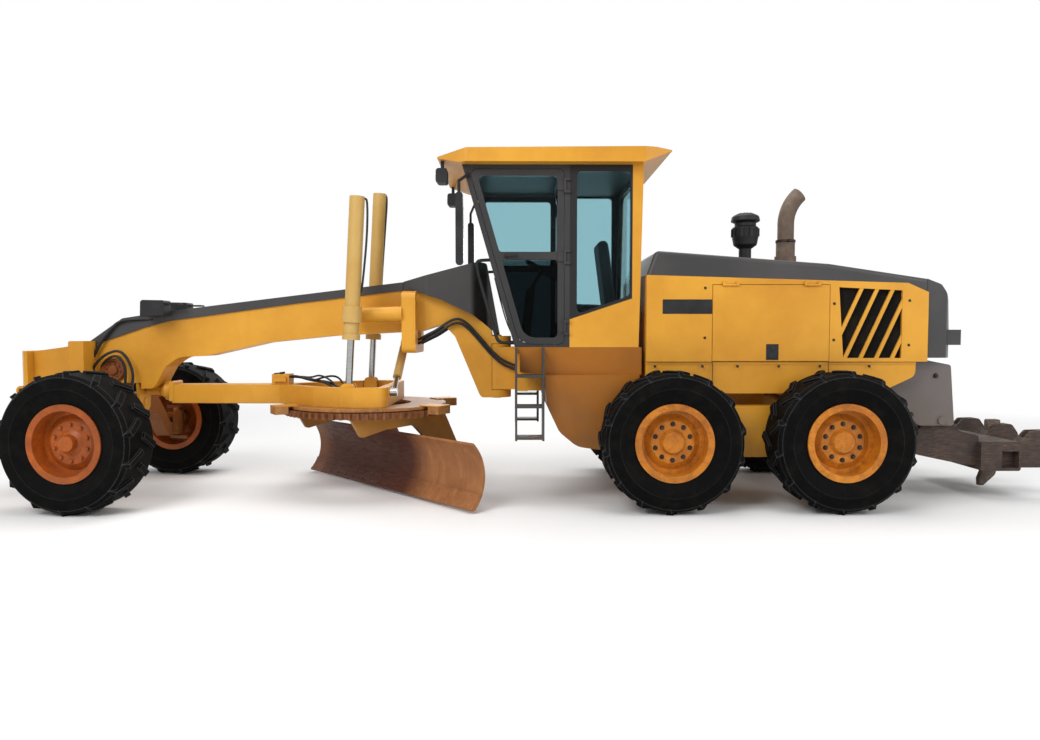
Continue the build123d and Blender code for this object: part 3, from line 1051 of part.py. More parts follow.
def cab_base():
    """Deck under the cab, side tanks with curved bellies and the ladders."""
    deck = block(1010, 2225, -CAB_HALF, CAB_HALF, DECK_FOOT, CAB_FOOT)
    deck -= block(2095, 2300, -LUG_PLATE_RADIUS - 10, LUG_PLATE_RADIUS + 10, 1400, 1600)
    skirt = [(1010, DECK_FOOT), (2190, DECK_FOOT), (2190, 1289), (1980, 1262), (1010, 1262)]
    deck += pair(across(skirt, RAIL_HALF, CAB_HALF))
    tank_side = [(1950, 1262), (1928, 960, 250), (1810, 710, 200), (1640, 570, 200), (1400, 535, 90),
                 (1040, 760, 100), (1040, 1262)]
    tanks = pair(across(tank_side, RAIL_HALF + 30, 790))
    rungs = []
    for side in (1, -1):
        y0, y1 = sorted((side * CAB_HALF, side * 905))
        for x in (1958, 2216):
            rungs.append(block(x, x + 22, y0, y1, 640, CAB_FOOT - 5))
        for z in (652, 952, 1242):
            rungs.append(block(1968, 2226, y0, y1, z, z + 26))
    save("cab_base", deck + tanks[0] + tanks[1])
    ladder = rungs[0]
    for piece in rungs[1:5]:
        ladder += piece
    other = rungs[5]
    for piece in rungs[6:]:
        other += piece
    save("ladders", ladder, other)


def mirrors_and_lamps():
    """Side mirrors on their arms, and the work lamps under the roof's front corners."""
    arm = block(2676, 2704, CAB_HALF, CAB_HALF + 22, 3150, 3210)
    arm += rod((2690, CAB_HALF + 16, 3180), (2760, 935, 3080), 14) + rod((2760, 935, 3080), (2760, 935, 2960), 14)
    plate = across([(2722, 2300, 30), (2722, 2975, 30), (2792, 2975, 30), (2792, 2300, 30)], 915, 955)
    save("mirrors", *pair(arm + plate))
    lamp = across([(2890, 3110, 20), (2890, 3250, 20), (3000, 3250, 30), (3000, 3110, 30)], 560, 700)
    bracket = block(2925, 2955, 600, 660, 3240, 3330)
    roof_room = across([(3010, 3345), (2770, CAB_HEAD), (2700, 3500), (3010, 3500)], -900, 900)
    save("roof_lamps", *pair(lamp + bracket - roof_room))


def ripper():
    """Grey carrier plates behind the frame and the ripper that swings from them."""
    plate = across([(-1253, 1340, 60), (-1300, 1462, 50), (-1621, 1440), (-2070, 1352, 30),
                    (-2118, 750, 30), (-1760, 750, 80)], RIPPER_PLATE_Y, RIPPER_PLATE_Y + RIPPER_PLATE)
    plates = pair(plate)
    cross = block(-1850, -1690, -RIPPER_PLATE_Y, RIPPER_PLATE_Y, 1100, 1330)
    stay = block(-2090, -2040, -RIPPER_PLATE_Y, RIPPER_PLATE_Y, 1080, 1240)
    carrier = plates[0] + plates[1] + cross + stay
    shaft_end = RIPPER_PLATE_Y + RIPPER_PLATE + 20
    carrier += pin_across(RIPPER_PIVOT_X, RIPPER_PIVOT_Z, RIPPER_SHAFT_RADIUS, -shaft_end, shaft_end)
    save("ripper_carrier", carrier)

    arm_side = [(-1765, 455, 50), (-1765, 640, 40), (-1900, RIPPER_PIVOT_Z + 80, 50),
                (-2070, RIPPER_PIVOT_Z + 82, 60), (-2200, 690, 80), (RIPPER_BEAM_FRONT - 20, 640),
                (RIPPER_BEAM_FRONT - 20, 345), (RIPPER_BEAM_FRONT + 120, 350, 80)]
    swing = block(RIPPER_BEAM_REAR, RIPPER_BEAM_FRONT, -RIPPER_BEAM_HALF, RIPPER_BEAM_HALF,
                  RIPPER_BEAM_FOOT, RIPPER_BEAM_TOP)
    long_edges = [e for e in swing.edges() if e.length > RIPPER_BEAM_HALF]
    swing = fillet(long_edges, 25)
    for side in (1, -1):
        low, high = sorted((side * RIPPER_ARM_Y, side * (RIPPER_ARM_Y + RIPPER_ARM)))
        swing += across(arm_side, low, high)
        low, high = sorted((side * (RIPPER_BEAM_HALF - 90), side * (RIPPER_BEAM_HALF + 1)))
        swing -= block(RIPPER_BEAM_REAR + 20, RIPPER_BEAM_REAR + 190, low, high,
                       RIPPER_BEAM_FOOT + 28, RIPPER_BEAM_FOOT + 195)
    swing -= pin_across(RIPPER_PIVOT_X, RIPPER_PIVOT_Z, RIPPER_SHAFT_RADIUS + RUNNING, -700, 700)
    rear = REAR_END
    holder_side = [(RIPPER_BEAM_REAR + 5, 330), (RIPPER_BEAM_REAR + 5, 570, 30), (-2890, 695, 40),
                   (rear + 70, 700, 50), (rear, 600, 60), (rear, 330, 60)]
    for y in (-HOLDER_PITCH, 0, HOLDER_PITCH):
        swing += across(holder_side, y - HOLDER_HALF, y + HOLDER_HALF)
        slot = SHANK_HALF + RUNNING
        swing -= block(SHANK_REAR - RUNNING, SHANK_FRONT + RUNNING, y - slot, y + slot, 300, 800)
    save("ripper_frame", swing)
    shank_side = [(SHANK_REAR, 745, 20), (SHANK_FRONT, 745, 20), (SHANK_FRONT, 300, 80), (-2757, 105),
                  (-2763, 32), (-2800, 35, 25), (-2925, 150, 80), (SHANK_REAR, 300, 60)]
    save("ripper_shanks", across(shank_side, -SHANK_HALF, SHANK_HALF))


def main():
    """Write every sub-part."""
    os.makedirs("parts", exist_ok=True)
    wheels()
    front_axle()
    steering()
    frame = front_frame()
    beam_cover(frame)
    counterweight()
    headlamps()
    saddle()
    lift_cylinders()
    shift_cylinder()
    drawbar()
    circle_and_blade()
    rear_frame()
    drive()
    bodywork()
    stacks()
    cab()
    cab_base()
    mirrors_and_lamps()
    ripper()


main()
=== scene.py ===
"""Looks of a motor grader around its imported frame: finishes, hoses, fasteners, trim and stage."""
from functools import partial
from math import copysign, cos, exp, pi, radians, sin

import bmesh
import bpy
from bpy.props import FloatProperty, FloatVectorProperty, IntProperty, PointerProperty
from mathutils import Matrix, Vector


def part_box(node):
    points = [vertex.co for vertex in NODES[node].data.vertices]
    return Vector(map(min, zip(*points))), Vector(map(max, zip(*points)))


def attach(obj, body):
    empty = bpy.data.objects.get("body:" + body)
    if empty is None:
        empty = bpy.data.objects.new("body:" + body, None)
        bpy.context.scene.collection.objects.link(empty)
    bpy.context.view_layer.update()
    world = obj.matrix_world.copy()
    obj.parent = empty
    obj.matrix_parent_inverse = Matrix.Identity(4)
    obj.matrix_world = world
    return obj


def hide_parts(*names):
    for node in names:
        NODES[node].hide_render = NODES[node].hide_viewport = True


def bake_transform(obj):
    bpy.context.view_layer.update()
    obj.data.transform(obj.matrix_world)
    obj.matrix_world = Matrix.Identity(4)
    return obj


bl_info = {
    "name": "Motor grader looks",
    "version": (1, 0, 0),
    "blender": (4, 5, 0),
    "location": "View3D > Sidebar > Grader",
    "description": "Finishes, hoses, fasteners, trim and stage for a motor grader's frame",
    "category": "Object",
}

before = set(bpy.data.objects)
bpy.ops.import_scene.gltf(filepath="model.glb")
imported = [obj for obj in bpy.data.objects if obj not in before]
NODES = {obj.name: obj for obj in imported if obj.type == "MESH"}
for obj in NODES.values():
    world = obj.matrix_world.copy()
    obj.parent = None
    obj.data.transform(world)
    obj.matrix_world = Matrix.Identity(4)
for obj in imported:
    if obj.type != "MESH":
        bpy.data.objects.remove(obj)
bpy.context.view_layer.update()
SIDES = (("left", 1), ("right", -1))
WHEEL_PLACES = ("front", "middle", "rear")
AHEAD = (1.0, 0.0, 0.0)
LEFTWARD = (0.0, 1.0, 0.0)
UP = (0.0, 0.0, 1.0)


def colour_setting(label, text, value):
    """Colour that a user may change."""
    return FloatVectorProperty(name=label, description=text, default=value, min=0, max=1, size=3,
                               subtype="COLOR")


def length_setting(label, text, value):
    """Length that a user may change."""
    return FloatProperty(name=label, description=text, default=value, min=0, unit="LENGTH",
                         subtype="DISTANCE")


class GraderColours(bpy.types.PropertyGroup):
    """Paint, metal, rubber and cloth colours."""

    yellow: colour_setting("Yellow paint", "Bodywork, frames and beam", (0.70, 0.335, 0.032))
    yellow_shade: colour_setting("Faded yellow", "Where the yellow paint has darkened", (0.55, 0.235, 0.018))
    charcoal: colour_setting("Charcoal paint", "Hood, beam top and ladders", (0.040, 0.039, 0.039))
    front_rim: colour_setting("Front rim", "Rusty orange of the front rims", (0.42, 0.095, 0.010))
    rear_rim: colour_setting("Rear rim", "Paint of the rear rims", (0.66, 0.235, 0.016))
    cylinder: colour_setting("Cylinder", "Pale paint of the hydraulic barrels", (0.57, 0.37, 0.12))
    cab: colour_setting("Cab frame", "Dark paint of the cab and its doors", (0.027, 0.026, 0.026))
    axle: colour_setting("Axle", "Rusted paint of the front axle", (0.30, 0.088, 0.014))
    # Darker, browner copy of the yellow for the parts under the cab: painted shade.
    tank: colour_setting("Tanks", "Stained paint under the cab", (0.34, 0.115, 0.006))
    rust: colour_setting("Rust", "Chips, edges and worn places", (0.105, 0.042, 0.018))
    # Colour that painted steel turns towards in blotches lower down; darker and browner towards the bottom.
    low_tone: colour_setting("Grime", "Dust and dried mud low on the machine", (0.16, 0.095, 0.045))
    blade: colour_setting("Blade steel", "Earth-polished brown steel", (0.36, 0.145, 0.050))
    circle: colour_setting("Circle", "Worn paint of the circle and its arms", (0.44, 0.20, 0.032))
    grey: colour_setting("Grey paint", "Ripper carrier plates", (0.115, 0.105, 0.105))
    steel: colour_setting("Bare steel", "Worn shanks", (0.10, 0.075, 0.06))
    rubber: colour_setting("Tyre rubber", "Clean black rubber", (0.0015, 0.0015, 0.0015))
    dust: colour_setting("Tyre dust", "Dust in the rubber's grooves", (0.010, 0.009, 0.008))
    stack: colour_setting("Exhaust", "Heat-browned stack", (0.115, 0.078, 0.055))
    plastic: colour_setting("Black plastic", "Air cleaner, mirrors and trim", (0.009, 0.009, 0.010))
    glass: colour_setting("Glass", "Tint of the cab's glass", (0.50, 0.69, 0.73))
    cloth: colour_setting("Cloth of the seat", "Cover of the driver's place", (0.03, 0.03, 0.034))
    lens: colour_setting("Clear lens", "Headlamps and work lamps", (0.82, 0.84, 0.86))
    rear_lens: colour_setting("Rear lens", "Rear lamps", (0.45, 0.02, 0.01))
    floor: colour_setting("Floor", "Pale studio floor", (0.86, 0.86, 0.86))


class GraderSizes(bpy.types.PropertyGroup):
    """Sizes of the parts that the looks add."""

    camera_lens: FloatProperty(name="Camera lens", description="Focal length on a 36 mm sensor",
                               default=25.64, min=5, unit="CAMERA")
    wheel_bolts: IntProperty(name="Wheel bolts", description="Bolts that hold each rim", default=10, min=4)
    wheel_bolt_circle: length_setting("Wheel bolt circle", "Radius of the bolts' circle", 0.168)
    bolt_radius: length_setting("Bolt radius", "Across the corners of a bolt head, halved", 0.017)
    bolt_head: length_setting("Bolt head", "Height of a bolt head", 0.016)
    hose_radius: length_setting("Hose radius", "Half the thickness of a goose-neck hose", 0.014)
    edge_bolts: IntProperty(name="Edge bolts", description="Bolts in each row of the cutting edge",
                            default=18, min=2)


# Meshes

def mesh_from(name, build):
    """Mesh filled in by a function that is handed an empty bmesh."""
    bm = bmesh.new()
    build(bm)
    bmesh.ops.recalc_face_normals(bm, faces=bm.faces)
    mesh = bpy.data.meshes.new(name)
    bm.to_mesh(mesh)
    bm.free()
    return mesh


def shown(name, mesh):
    """Object that shows a mesh in the scene."""
    obj = bpy.data.objects.new(name, mesh)
    bpy.context.scene.collection.objects.link(obj)
    return obj


def piece(name, build, body, look, rounding=0.0, smooth=None):
    """Piece that rides on a body, with rounded edges, or with smooth shading under an angle."""
    mesh = mesh_from(name, build)
    mesh.materials.append(finish(look))
    obj = shown(name, mesh)
    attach(obj, body)
    if rounding:
        bevel = obj.modifiers.new("round_edges", "BEVEL")
        bevel.width = rounding
        bevel.segments = 2
        bevel.limit_method = "ANGLE"
    if smooth:
        for face in mesh.polygons:
            face.use_smooth = True
        mesh.set_sharp_from_angle(angle=radians(smooth))
    return obj


def tube(name, points, radius, look, body=None, bend=None):
    """Hose, pipe or rail along a smooth line, riding on one body, or left unattached where it lies when a
    bend is given.
    """
    curve = bpy.data.curves.new(name, "CURVE")
    curve.dimensions = "3D"
    curve.bevel_depth = radius
    curve.bevel_resolution = 4
    curve.resolution_u = 10
    curve.use_fill_caps = True
    line = curve.splines.new("NURBS")
    line.points.add(len(points) - 1)
    for spot, place in zip(line.points, points):
        spot.co = (*place, 1.0)
    line.order_u = 3
    line.use_endpoint_u = True
    guide = shown(f"{name}_guide", curve)
    bpy.context.view_layer.update()
    shaped = guide.evaluated_get(bpy.context.evaluated_depsgraph_get())
    mesh = bpy.data.meshes.new_from_object(shaped)
    bpy.data.objects.remove(guide)
    bpy.data.curves.remove(curve)
    mesh.name = name
    mesh.materials.clear()
    mesh.materials.append(finish(look))
    for face in mesh.polygons:
        face.use_smooth = True
    obj = shown(name, mesh)
    if bend:
        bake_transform(obj)
    else:
        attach(obj, body)


def on_side(place, sign):
    """Place given as on the left, brought to the side with this sign."""
    return Vector((place[0], place[1] * sign, place[2]))


def angles(count, start=0.0):
    """Angles spaced evenly round a full turn."""
    return [start + 2 * pi * i / count for i in range(count)]


def turn_to(axis):
    """Rotation that brings straight up onto an axis."""
    return Vector(UP).rotation_difference(Vector(axis).normalized()).to_matrix()


def skin(bm, rings):
    """Closed skin over rings of vertices, capped at both ends."""
    for lower, upper in zip(rings, rings[1:]):
        for i in range(len(lower)):
            j = (i + 1) % len(lower)
            bm.faces.new((lower[i], lower[j], upper[j], upper[i]))
    bm.faces.new(rings[0][::-1])
    bm.faces.new(rings[-1])


def turned(bm, centre, axis, profile, segments=32):
    """Round body about an axis; the profile lists its radius and its distance along the axis."""
    turn = turn_to(axis)
    rings = []
    for radius, along in profile:
        circle = [Vector((radius * cos(angle), radius * sin(angle), along)) for angle in angles(segments)]
        rings.append([bm.verts.new(Vector(centre) + turn @ spot) for spot in circle])
    skin(bm, rings)


def slab(bm, low, high):
    """Box between two corners, for pieces whose edges are then rounded."""
    low, high = Vector(low), Vector(high)
    stretch = Matrix.Diagonal((*(high - low), 1.0))
    bmesh.ops.create_cube(bm, size=1.0, matrix=Matrix.Translation((low + high) / 2) @ stretch)


def side_slab(bm, sign, corners):
    """Box on one side of the machine, from two corners given as on the left."""
    first, second = (on_side(corner, sign) for corner in corners)
    slab(bm, [min(pair) for pair in zip(first, second)], [max(pair) for pair in zip(first, second)])


def hexagon(bm, centre, axis, radius, height):
    """Hexagonal bolt head with a turned washer face under it."""
    place = Matrix.Translation(centre) @ turn_to(axis).to_4x4()
    washer = height * 0.3
    bmesh.ops.create_cone(bm, segments=20, cap_ends=True, radius1=radius * 1.35, radius2=radius * 1.25,
                          depth=washer, matrix=place @ Matrix.Translation((0, 0, washer / 2)))
    bmesh.ops.create_cone(bm, segments=6, cap_ends=True, radius1=radius, radius2=radius * 0.94,
                          depth=height, matrix=place @ Matrix.Translation((0, 0, height * 0.7)))


def vanes(bm, count, centre, reach, size, tilt):
    """Thin plates standing in a circle, each tilted in its own place."""
    for angle in angles(count):
        spot = Vector(centre) + Vector((cos(angle), sin(angle), 0.0)) * reach
        turn = Matrix.Rotation(angle, 4, "Z") @ tilt
        place = Matrix.Translation(spot) @ turn @ Matrix.Diagonal((*size, 1.0))
        bmesh.ops.create_cube(bm, size=1.0, matrix=place)


# Finishes

class Finish:
    """Procedural material under construction, with short ways to add and join nodes."""

    def __init__(self, name, metallic=0.0, roughness=0.5, specular=None):
        self.material = bpy.data.materials.new(name)
        self.material.use_nodes = True
        self.tree = self.material.node_tree
        self.shader = self.tree.nodes["Principled BSDF"]
        self.set("Metallic", metallic)
        self.set("Roughness", roughness)
        if specular is not None:
            self.set("Specular IOR Level", specular)
        self.place = self.tree.nodes.new("ShaderNodeTexCoord").outputs["Object"]

    def set(self, socket, value):
        """Constant on one of the shader's own sockets."""
        self.shader.inputs[socket].default_value = value

    def add(self, kind, **settings):
        """New node; a setting names a property, or an input whose name has its spaces as underscores."""
        made = self.tree.nodes.new(kind)
        for key, value in settings.items():
            if hasattr(made, key):
                setattr(made, key, value)
            else:
                made.inputs[key.replace("_", " ")].default_value = value
        return made

    def join(self, output, socket):
        """Wire from an output to a socket."""
        self.tree.links.new(output, socket)

    def noise(self, scale, detail=4.0, rough=0.55, stretch=None):
        """Noise over the object's own coordinates; stretch scales them along X, Y and Z first."""
        made = self.add("ShaderNodeTexNoise", Scale=scale, Detail=detail, Roughness=rough)
        place = self.place
        if stretch:
            mapping = self.add("ShaderNodeMapping", Scale=stretch)
            self.join(place, mapping.inputs["Vector"])
            place = mapping.outputs["Vector"]
        self.join(place, made.inputs["Vector"])
        return made.outputs["Fac"]

    def span(self, value, low, high, out_low=0.0, out_high=1.0):
        """Value brought from one span to another, held at its ends."""
        made = self.add("ShaderNodeMapRange", From_Min=low, From_Max=high, To_Min=out_low, To_Max=out_high)
        self.join(value, made.inputs["Value"])
        return made.outputs["Result"]

    def patches(self, scale, low, high, detail=8.0, rough=0.7, stretch=None):
        """Patches out of a noise: none where it is under the low value, whole over the high one."""
        return self.span(self.noise(scale, detail, rough, stretch), low, high)

    def waves(self, direction, scale):
        """Even ribs along X, Y or Z."""
        made = self.add("ShaderNodeTexWave", bands_direction=direction, Scale=scale)
        self.join(self.place, made.inputs["Vector"])
        return made.outputs["Fac"]

    def maths(self, operation, first, second):
        """Two values put together; either may be a plain number."""
        made = self.add("ShaderNodeMath", operation=operation, use_clamp=True)
        for value, socket in zip((first, second), made.inputs):
            if isinstance(value, (int, float)):
                socket.default_value = value
            else:
                self.join(value, socket)
        return made.outputs["Value"]

    def times(self, first, second):
        """Product of two values."""
        return self.maths("MULTIPLY", first, second)

    def either(self, first, second):
        """Larger of two values."""
        return self.maths("MAXIMUM", first, second)

    def blend(self, share, first, second):
        """Colour between two others, each a plain colour or a wire."""
        made = self.add("ShaderNodeMix", data_type="RGBA")
        self.join(share, made.inputs["Factor"])
        for value, socket in ((first, made.inputs[6]), (second, made.inputs[7])):
            if isinstance(value, bpy.types.NodeSocket):
                self.join(value, socket)
            else:
                socket.default_value = (*value, 1.0)
        return made.outputs[2]

    def edges(self, radius, low=0.01, high=0.12):
        """One along the object's convex and concave edges, nothing on its faces."""
        rounded = self.add("ShaderNodeBevel", samples=4, Radius=radius)
        plain = self.add("ShaderNodeNewGeometry")
        dot = self.add("ShaderNodeVectorMath", operation="DOT_PRODUCT")
        self.join(rounded.outputs["Normal"], dot.inputs[0])
        self.join(plain.outputs["Normal"], dot.inputs[1])
        return self.span(self.maths("SUBTRACT", 1.0, dot.outputs["Value"]), low, high)

    def along(self, direction):
        """Distance of a point at rest along a direction, from the frame's origin."""
        dot = self.add("ShaderNodeVectorMath", operation="DOT_PRODUCT")
        self.join(self.place, dot.inputs[0])
        dot.inputs[1].default_value = direction
        return dot.outputs["Value"]

    def past(self, direction, distance, fade):
        """One beyond a distance along a direction, over a fade; a negative fade turns it round."""
        return self.span(self.along(direction), distance, distance + fade)

    def outward(self):
        """Distance from the machine's middle plane."""
        made = self.add("ShaderNodeMath", operation="ABSOLUTE")
        self.join(self.along(LEFTWARD), made.inputs[0])
        return made.outputs["Value"]

    def bump(self, height, strength, distance=0.002):
        """Relief on the shader from a height."""
        made = self.add("ShaderNodeBump", Strength=strength, Distance=distance)
        self.join(height, made.inputs["Height"])
        self.join(made.outputs["Normal"], self.shader.inputs["Normal"])

    def colour(self, output):
        """Wire a colour to the shader."""
        self.join(output, self.shader.inputs["Base Color"])

    def rough(self, share, plain, worn):
        """Roughness of the shader, from its plain value to its worn one."""
        self.join(self.span(share, 0.0, 1.0, plain, worn), self.shader.inputs["Roughness"])


FINISHES = {}


def finish(name):
    """Finish by its name, made the first time that it is asked for."""
    if name not in FINISHES:
        FINISHES[name] = RECIPES[name](name, bpy.context.scene.grader_colours)
    return FINISHES[name]


def faded(made, colour, shade):
    """Paint that has darkened in broad patches."""
    return made.blend(made.patches(0.9, 0.38, 0.68, detail=5.0, rough=0.6), colour, shade)


def paint(name, colours, colour, shade, wear=0.5, darken_top=0.9, gloss=0.42, where=None):
    """Painted steel: faded patches, fine orange peel, chipped edges, and blotches that darken and brown it
    more towards the bottom.
    """
    darken_foot = 0.15
    made = Finish(name, roughness=gloss, specular=0.3)
    tone = faded(made, colour, shade)
    if where:
        tone = where(made, colours, tone)
    streaks = made.patches(3.0, 0.56, 0.80, detail=6.0, rough=0.65, stretch=(1.0, 1.0, 0.18))
    tone = made.blend(made.times(streaks, 0.45), tone, shade)
    # Blotches that darken and brown the paint, more so the lower they are.
    low = made.past(UP, darken_top, darken_foot - darken_top)
    low_blotches = made.times(low, made.patches(5.0, 0.30, 0.62))
    tone = made.blend(made.times(low_blotches, 0.75), tone, colours.low_tone)
    chips = made.patches(26.0, 0.66, 0.72, rough=0.75)
    rubbed = made.times(made.edges(0.006), made.patches(9.0, 0.44, 0.60))
    worn = made.times(made.either(chips, rubbed), wear)
    made.colour(made.blend(worn, tone, colours.rust))
    made.rough(made.either(low_blotches, worn), gloss, 0.82)
    made.bump(made.noise(160.0, 2.0), 0.04)
    return made.material


def rim_rust(made, colours, tone):
    """Rust that has bled over a rim's dish in blotches and runs."""
    blotches = made.patches(6.0, 0.46, 0.62, detail=10.0, rough=0.78)
    runs = made.patches(16.0, 0.50, 0.66, rough=0.8)
    rusty = made.either(made.times(blotches, 0.55), made.times(runs, 0.6))
    return made.blend(rusty, tone, (0.14, 0.034, 0.008))


def cab_parting(made, colours, tone):
    """Yellow on the cab's rear posts, lower side and back, over the dark paint of the rest."""
    fade = -0.004
    door_rear, post_front, cab_back = -0.394, -0.998, -1.018
    behind_door = made.past(AHEAD, door_rear, fade / 2)
    under_window = made.past((0.333, 0.0, 1.0), 1.669, fade)
    on_post = made.past(AHEAD, post_front, fade)
    outside = made.span(made.outward(), 0.698, 0.702)
    back = made.past((1.0, 0.0, 0.0229), cab_back, fade)
    tone = made.blend(made.times(behind_door, outside), tone, (0.010, 0.010, 0.011))
    side = made.times(made.times(behind_door, made.either(under_window, on_post)), outside)
    return made.blend(made.either(side, back), tone, faded(made, colours.yellow, colours.yellow_shade))


def deck_parting(made, colours, tone):
    """Rusty earth on the drawbar's round deck, under its painted frame."""
    deck_top = 0.942
    earth = made.blend(made.patches(12.0, 0.30, 0.66), (0.20, 0.070, 0.020), (0.46, 0.21, 0.055))
    return made.blend(made.past(UP, deck_top, -0.006), tone, earth)


def circle_parting(made, colours, tone):
    """Rust and dry earth over the ring and its teeth; the arms keep more of their paint."""
    ring_foot = 0.815
    earth = made.blend(made.patches(14.0, 0.30, 0.66), (0.10, 0.030, 0.010), (0.24, 0.085, 0.026))
    return made.blend(made.past(UP, ring_foot, 0.020), tone, earth)


def rubber(name, colours):
    """Black tyre rubber, dusty in patches, with a painted sheen that lightens its edges."""
    made = Finish(name, specular=0.06)
    dusty = made.patches(7.0, 0.48, 0.74)
    tone = made.blend(dusty, colours.rubber, colours.dust)
    # Painted sheen: the lugs' edges are lightened towards grey as if they caught the light.
    made.colour(made.blend(made.times(made.edges(0.014), 0.45), tone, (0.12, 0.12, 0.125)))
    made.rough(dusty, 0.62, 0.95)
    made.bump(made.noise(90.0, 4.0), 0.12, 0.003)
    return made.material


def worn_steel(name, dark, light, scale, smooth=0.4, dull=0.7, metallic=0.75, grain=(1.0, 1.0, 9.0)):
    """Bare steel, scoured along one direction and stained in patches."""
    made = Finish(name, metallic=metallic)
    stains = made.patches(scale, 0.35, 0.66)
    scoured = made.patches(scale * 3.0, 0.40, 0.70, detail=6.0, stretch=grain)
    share = made.times(stains, scoured)
    made.colour(made.blend(share, dark, light))
    made.rough(share, dull, smooth)
    made.bump(scoured, 0.25)
    return made.material


def blade_steel(name, colours):
    """Earth-polished steel, dark in its middle, with brown ends and upright streaks near the open end."""
    dark, scour = (0.070, 0.016, 0.006), (0.15, 0.048, 0.020)
    bright, rubbed = (0.55, 0.27, 0.10), (0.22, 0.12, 0.07)
    made = Finish(name, metallic=0.1, specular=0.3)
    near = made.past(BLADE_ALONG, -0.62, 0.32)
    far = made.times(made.past(BLADE_ALONG, -2.15, -0.25), 0.5)
    stains = made.patches(2.4, 0.30, 0.58, rough=0.72)
    share = made.times(made.either(near, far), made.span(stains, 0.0, 1.0, 0.62, 1.0))
    scoured = made.patches(7.0, 0.36, 0.72, detail=6.0, stretch=(1.0, 1.0, 7.0))
    streaks = made.patches(16.0, 0.50, 0.74, detail=5.0, rough=0.65, stretch=(1.0, 1.0, 0.12))
    tone = made.blend(share, dark, colours.blade)
    tone = made.blend(made.times(scoured, 0.25), tone, scour)
    tone = made.blend(made.times(streaks, made.times(near, 0.4)), tone, bright)
    made.colour(made.blend(made.times(made.edges(0.008), 0.6), tone, rubbed))
    made.rough(scoured, 0.62, 0.34)
    made.bump(scoured, 0.25)
    return made.material


def polished(name):
    """Polished rod of a hydraulic cylinder with a faint oily film."""
    made = Finish(name, metallic=1.0)
    film = made.noise(8.0, 4.0, stretch=(1.0, 1.0, 4.0))
    made.colour(made.blend(film, (0.30, 0.31, 0.30), (0.52, 0.53, 0.52)))
    made.rough(made.span(film, 0.3, 0.7), 0.12, 0.26)
    return made.material


def mirror_glass(name):
    """Silvered glass with a faint smear."""
    made = Finish(name, metallic=1.0)
    smear = made.patches(6.0, 0.4, 0.7, detail=5.0, rough=0.55)
    made.colour(made.blend(smear, (0.72, 0.75, 0.77), (0.60, 0.62, 0.63)))
    made.rough(smear, 0.03, 0.12)
    return made.material


def cab_pane(name, tint):
    """Cab glass: clear and blue above, with painted shade below that stands in for the dim cab behind it."""
    made = Finish(name)
    low = made.past(UP, 2.41, -0.05)
    beside_door = made.past(AHEAD, -0.46, 0.02)
    # Painted shade: the lower glass from the doors forward is darkened as if the cab behind it were dim.
    made.colour(made.blend(made.times(low, beside_door), tint, (0.045, 0.075, 0.085)))
    made.set("Transmission Weight", 1.0)
    made.set("IOR", 1.12)
    made.rough(made.patches(3.0, 0.45, 0.75, detail=5.0, rough=0.55), 0.01, 0.08)
    return made.material


def moulded(name, colour, roughness=0.55, grain=220.0, strength=0.10):
    """Moulded plastic with a fine pebbled grain."""
    made = Finish(name, roughness=roughness, specular=0.25)
    pale = [min(1.0, level * 1.7 + 0.006) for level in colour]
    made.colour(made.blend(made.patches(6.0, 0.35, 0.70, detail=4.0, rough=0.55), colour, pale))
    made.bump(made.noise(grain, 2.0), strength)
    return made.material


def woven(name, colour):
    """Cloth with a fine crossing weave."""
    made = Finish(name, roughness=0.92)
    made.set("Sheen Weight", 0.3)
    weave = made.times(made.waves("X", 180.0), made.waves("Z", 180.0))
    made.colour(made.blend(weave, colour, [level * 2.2 for level in colour]))
    made.bump(weave, 0.3, 0.001)
    return made.material


def lamp_lens(name, colour):
    """Ribbed lamp lens over a bright reflector."""
    made = Finish(name, roughness=0.08)
    made.set("Coat Weight", 1.0)
    ribs = made.waves("Y", 26.0)
    made.colour(made.blend(ribs, [level * 0.55 for level in colour], colour))
    made.bump(ribs, 0.35)
    return made.material


def radiator_core(name):
    """Fine dark fins of a radiator, dusty in patches."""
    made = Finish(name, metallic=0.4, roughness=0.7)
    fins = made.waves("Z", 55.0)
    dusty = made.patches(5.0, 0.4, 0.7, detail=6.0, rough=0.55)
    made.colour(made.blend(made.times(fins, dusty), (0.008, 0.007, 0.006), (0.05, 0.035, 0.022)))
    made.bump(fins, 0.5, 0.003)
    return made.material


